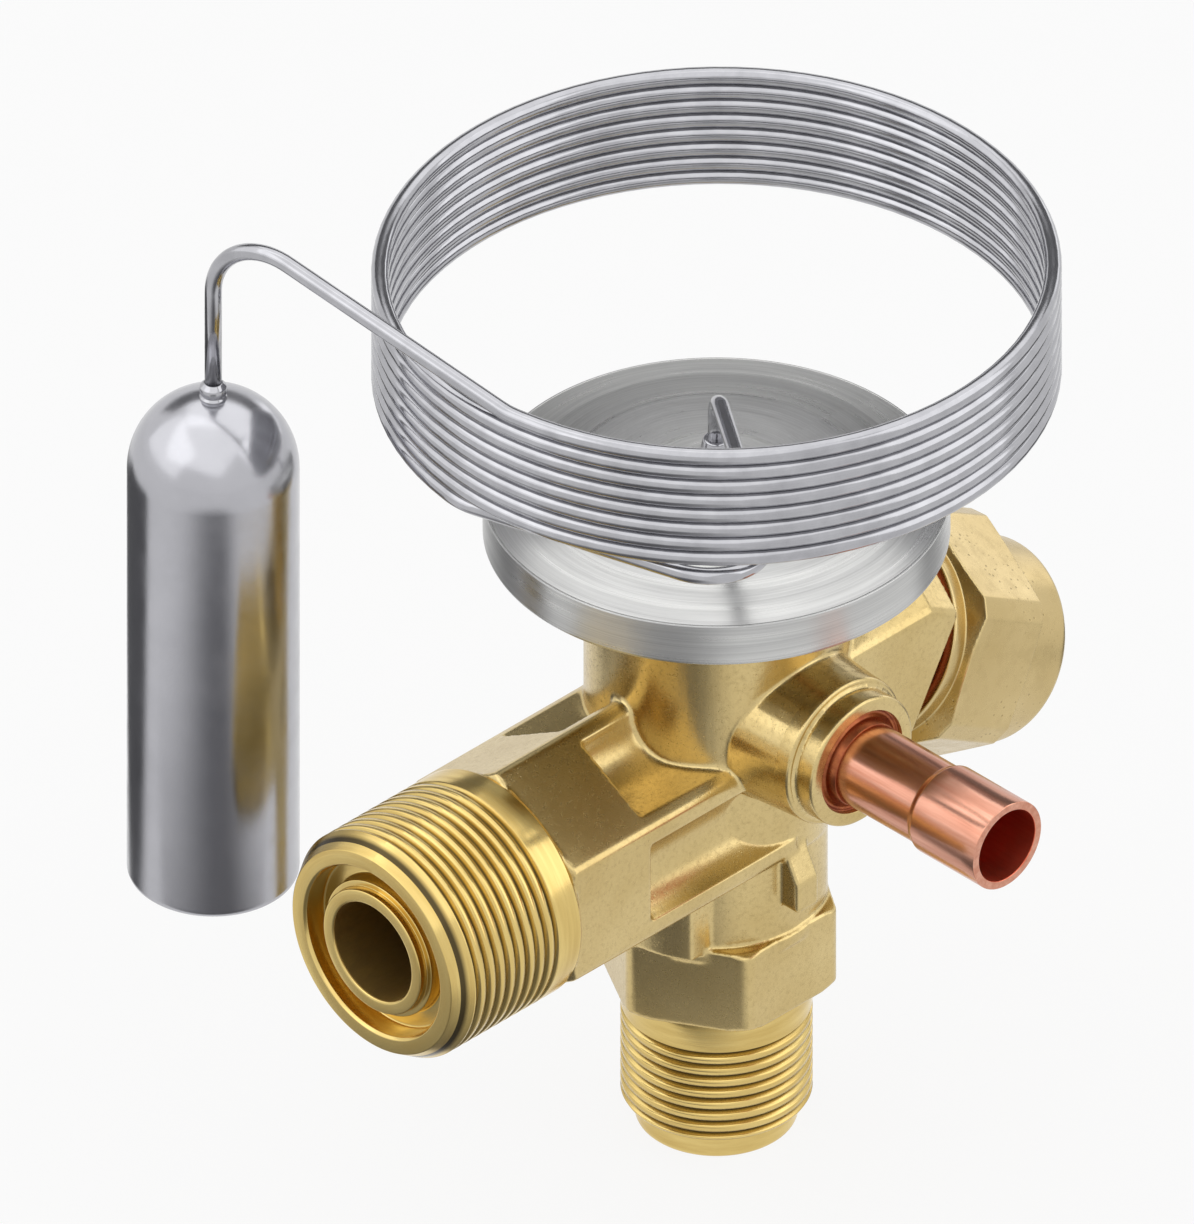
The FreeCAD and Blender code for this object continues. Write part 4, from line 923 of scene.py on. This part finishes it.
def addCapillary():
    piece = tubeAlong("capillary", capillaryLine(), capillary["radius"], capillary["sides"], "drawnStainless")
    mount(piece, "valve", "drawn_stainless", "capillary_tube")


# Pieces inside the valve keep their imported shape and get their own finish.
innerFinishes = {
    "gland_nut": "turnedBrass", "packing_washer": "turnedBrass", "spring_carrier": "turnedBrass",
    "thrust_plate": "turnedBrass", "pin_guide": "turnedBrass", "orifice_seat": "turnedBrass",
    "orifice_cage": "turnedBrass", "spindle_packing": "whitePacking", "pin_seal": "blackRubber",
    "setting_spindle": "groundSteel", "thrust_ball": "groundSteel", "push_pin": "groundSteel",
    "seal_retainer": "groundSteel", "valve_cone": "groundSteel", "strainer": "groundSteel",
    "diaphragm": "groundSteel",
}


# Each spring is cut into the pieces listed here, and each piece names the joint that would press it and the share
# that would stay still; nothing here makes it shorten. The superheat spring is pressed at both ends, by the carrier
# from below and by the thrust plate from above, so it is cut in two at its middle. Places along a spring are shares
# of its length.
springs = [
    {"name": "coneSpring", "node": "cone_spring", "joint": "valve_stroke",
     "from": 0.0, "to": 1.0, "still": 0.0},
    {"name": "superheatSpringLow", "node": "superheat_spring", "joint": "carrier_lift",
     "from": 0.0, "to": 0.5, "still": 0.5},
    {"name": "superheatSpringHigh", "node": "superheat_spring", "joint": "valve_stroke",
     "from": 0.5, "to": 1.0, "still": 0.5},
]


def addSprings():
    for spring in springs:
        low, high = (corner.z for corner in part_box(spring["node"]))
        length = high - low
        work = bmesh.new()
        work.from_mesh(frame["nodes"][spring["node"]].data)
        bmesh.ops.remove_doubles(work, verts=work.verts, dist=tiny)
        if spring["to"] < 1:
            trimmed(work, (0, 0, low + length * spring["to"]), (0, 0, 1))
        if spring["from"] > 0:
            trimmed(work, (0, 0, low + length * spring["from"]), (0, 0, -1))
        piece = helper(spring["name"], work)
        finished(piece, "springWire")
        mount(piece, "valve", "spring_steel", spring["node"])
        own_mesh(piece)


def finishInside():
    for node, finish in innerFinishes.items():
        for slot in frame["nodes"][node].material_slots:
            slot.material = finishes[finish]


# Studio: pale floor, white surroundings, soft lamps and grey cards outside the picture.
# The floor's drop keeps it clear of the inlet's mouth. Its glow is the share of plain white that the camera
# and the metals see of it, and the ambient is how strongly the white surroundings light the object.
studio = {"floorSize": 4000, "floorDrop": 0.05, "floorGlow": 0.88, "ambient": 0.36, "paperFibre": 6,
          "lampDistance": 700}


def seenDirectly(tree):
    # One for rays from the camera and for those that a surface mirrors or lets through
    path = addNode(tree, "LightPath").outputs
    direct = addNode(tree, "Math", {0: path["Is Camera Ray"], 1: path["Is Glossy Ray"]}, operation="MAXIMUM")
    return addNode(tree, "Math", {0: direct, 1: path["Is Transmission Ray"]}, operation="MAXIMUM")


def addWorld():
    world = bpy.data.worlds.new("studio")
    bpy.context.scene.world = world
    world.use_nodes = True
    tree = world.node_tree
    tree.nodes.clear()
    strength = addNode(tree, "MapRange", {"Value": seenDirectly(tree), 3: studio["ambient"], 4: 1.0})
    background = addNode(tree, "Background", {"Color": (1, 1, 1, 1), "Strength": strength})
    addNode(tree, "OutputWorld", {"Surface": background})


def shown(tree, mixed):
    output = next(node for node in tree.nodes if node.type == "OUTPUT_MATERIAL")
    tree.links.new(mixed.outputs[0], output.inputs["Surface"])


def addSheet(name, width, depth, position, colour):
    mesh = bpy.data.meshes.new(name)
    signs = [(-1, -1), (1, -1), (1, 1), (-1, 1)]
    mesh.from_pydata([(x * width / 2 * mm, y * depth / 2 * mm, 0) for x, y in signs], [], [(0, 1, 2, 3)])
    sheet = bpy.data.objects.new(name, mesh)
    sheet.matrix_world = position
    bpy.context.scene.collection.objects.link(sheet)
    material, tree, shader = newMaterial(name + "Paper", Roughness=0.9)
    place = addNode(tree, "TexCoord").outputs["Object"]
    fibre = addNode(tree, "TexNoise", {"Vector": place, "Scale": perSize(studio["paperFibre"])})
    shade = addNode(tree, "ValToRGB", {"Fac": fibre}, [(0.3, srgb(colour[0])), (0.7, srgb(colour[1]))])
    tree.links.new(shade.outputs["Color"], shader.inputs["Base Color"])
    sheet.data.materials.append(material)
    return sheet, tree, shader


def addFloor():
    position = Matrix.Translation((0, 0, -studio["floorDrop"] * mm))
    size = studio["floorSize"]
    floor, tree, shader = addSheet("floor", size, size, position, ("#f1f1f1", "#f3f3f3"))
    white = addNode(tree, "Emission", {"Color": (1, 1, 1, 1), "Strength": 1.0})
    share = addNode(tree, "Math", {0: seenDirectly(tree), 1: studio["floorGlow"]}, operation="MULTIPLY")
    shown(tree, addNode(tree, "MixShader", {0: share, 1: shader, 2: white}))


# Angles are degrees: the azimuth turns from the front, -Y, towards +X, as the camera's does.
lamps = [
    {"name": "topSoftbox", "azimuth": 100, "elevation": 62, "width": 1300, "depth": 900, "power": 1.8},
    {"name": "backSoftbox", "azimuth": 300, "elevation": 64, "width": 1000, "depth": 700, "power": 1.2},
    {"name": "leftSoftbox", "azimuth": 50, "elevation": 34, "width": 900, "depth": 600, "power": 0.8},
    {"name": "rightSoftbox", "azimuth": 215, "elevation": 30, "width": 600, "depth": 600, "power": 0.9},
    {"name": "rimSoftbox", "azimuth": 281, "elevation": 9, "width": 300, "depth": 200, "power": 0.12},
]
# Fades are how far each card fades out at its left, right, near and far rims, as the camera sees one that lies on
# the floor. The back card stands up and is placed by its angles instead.
cards = [
    {"name": "backCard", "azimuth": 315, "elevation": 30, "distance": 420, "width": 760, "depth": 250,
     "fades": (80, 80, 60, 60), "colour": ("#8a8a8c", "#919193")},
    {"name": "frontCard", "azimuth": 135, "toCamera": 112, "toLeft": 52, "height": 0.3, "width": 150, "depth": 188,
     "fades": (90, 50, 120, 8), "colour": ("#7e7e81", "#858588")},
    {"name": "leftCard", "azimuth": 135, "toCamera": -60, "toLeft": 128, "height": 0.3, "width": 128, "depth": 130,
     "fades": (40, 12, 20, 40), "colour": ("#5e5e60", "#656567")},
    {"name": "rightCard", "azimuth": 135, "toCamera": -64, "toLeft": -108, "height": 0.3, "width": 100, "depth": 90,
     "fades": (30, 30, 30, 30), "colour": ("#6c6c6e", "#737375")},
]


def aimed(azimuth, elevation, distance):
    # A place seen from the middle of the valve at these angles, facing back to it
    turn = math.radians(azimuth)
    rise = math.radians(elevation)
    level = Vector((math.sin(turn), -math.cos(turn), 0)) * math.cos(rise)
    towards = level + Vector((0, 0, math.sin(rise)))
    centre = (cadBox[0] + cadBox[1]) / 2
    return Matrix.Translation(centre + towards * distance * mm) @ towards.to_track_quat("Z", "Y").to_matrix().to_4x4()


def addLamps():
    for lamp in lamps:
        data = bpy.data.lights.new(lamp["name"], "AREA")
        data.shape = "RECTANGLE"
        data.size = lamp["width"] * mm
        data.size_y = lamp["depth"] * mm
        data.energy = lamp["power"]
        light = bpy.data.objects.new(lamp["name"], data)
        light.matrix_world = aimed(lamp["azimuth"], lamp["elevation"], studio["lampDistance"])
        bpy.context.scene.collection.objects.link(light)


def addCards():
    for card in cards:
        if "toCamera" in card:
            turn = Matrix.Rotation(math.radians(card["azimuth"]), 4, "Z")
            position = turn @ Matrix.Translation(Vector((-card["toLeft"], -card["toCamera"], card["height"])) * mm)
        else:
            position = aimed(card["azimuth"], card["elevation"], card["distance"])
        sheet, tree, shader = addSheet(card["name"], card["width"], card["depth"], position, card["colour"])
        sheet.visible_camera = False
        sheet.visible_shadow = False
        # Each card fades out at its rim, so that no hard line shows in the metal
        place = addNode(tree, "SeparateXYZ", {"Vector": addNode(tree, "TexCoord").outputs["Object"]})
        rims = [("X", -1, "width"), ("X", 1, "width"), ("Y", -1, "depth"), ("Y", 1, "depth")]
        cover = 1.0
        for (axis, sign, side), fade in zip(rims, card["fades"]):
            reach = addNode(tree, "Math", {0: place.outputs[axis], 1: float(sign)}, operation="MULTIPLY")
            rim = card[side] / 2
            share = addNode(tree, "MapRange", {"Value": reach, 1: (rim - fade) * mm, 2: rim * mm, 3: 1.0, 4: 0.0},
                            interpolation_type="SMOOTHSTEP")
            cover = addNode(tree, "Math", {0: share, 1: cover}, operation="MULTIPLY")
        shown(tree, addNode(tree, "MixShader", {0: cover, 1: addNode(tree, "BsdfTransparent"), 2: shader}))


addCamera()
addWorld()
addFloor()
addLamps()
addCards()
print("studio made")
addForging()
addPorts()
addBoss()
print("body made")
addCap()
addGasket()
addElement()
addBulb()
addEqualiser()
addCapillary()
addSprings()
finishInside()
print("pieces made")

bpy.context.scene.view_settings.view_transform = "Standard"
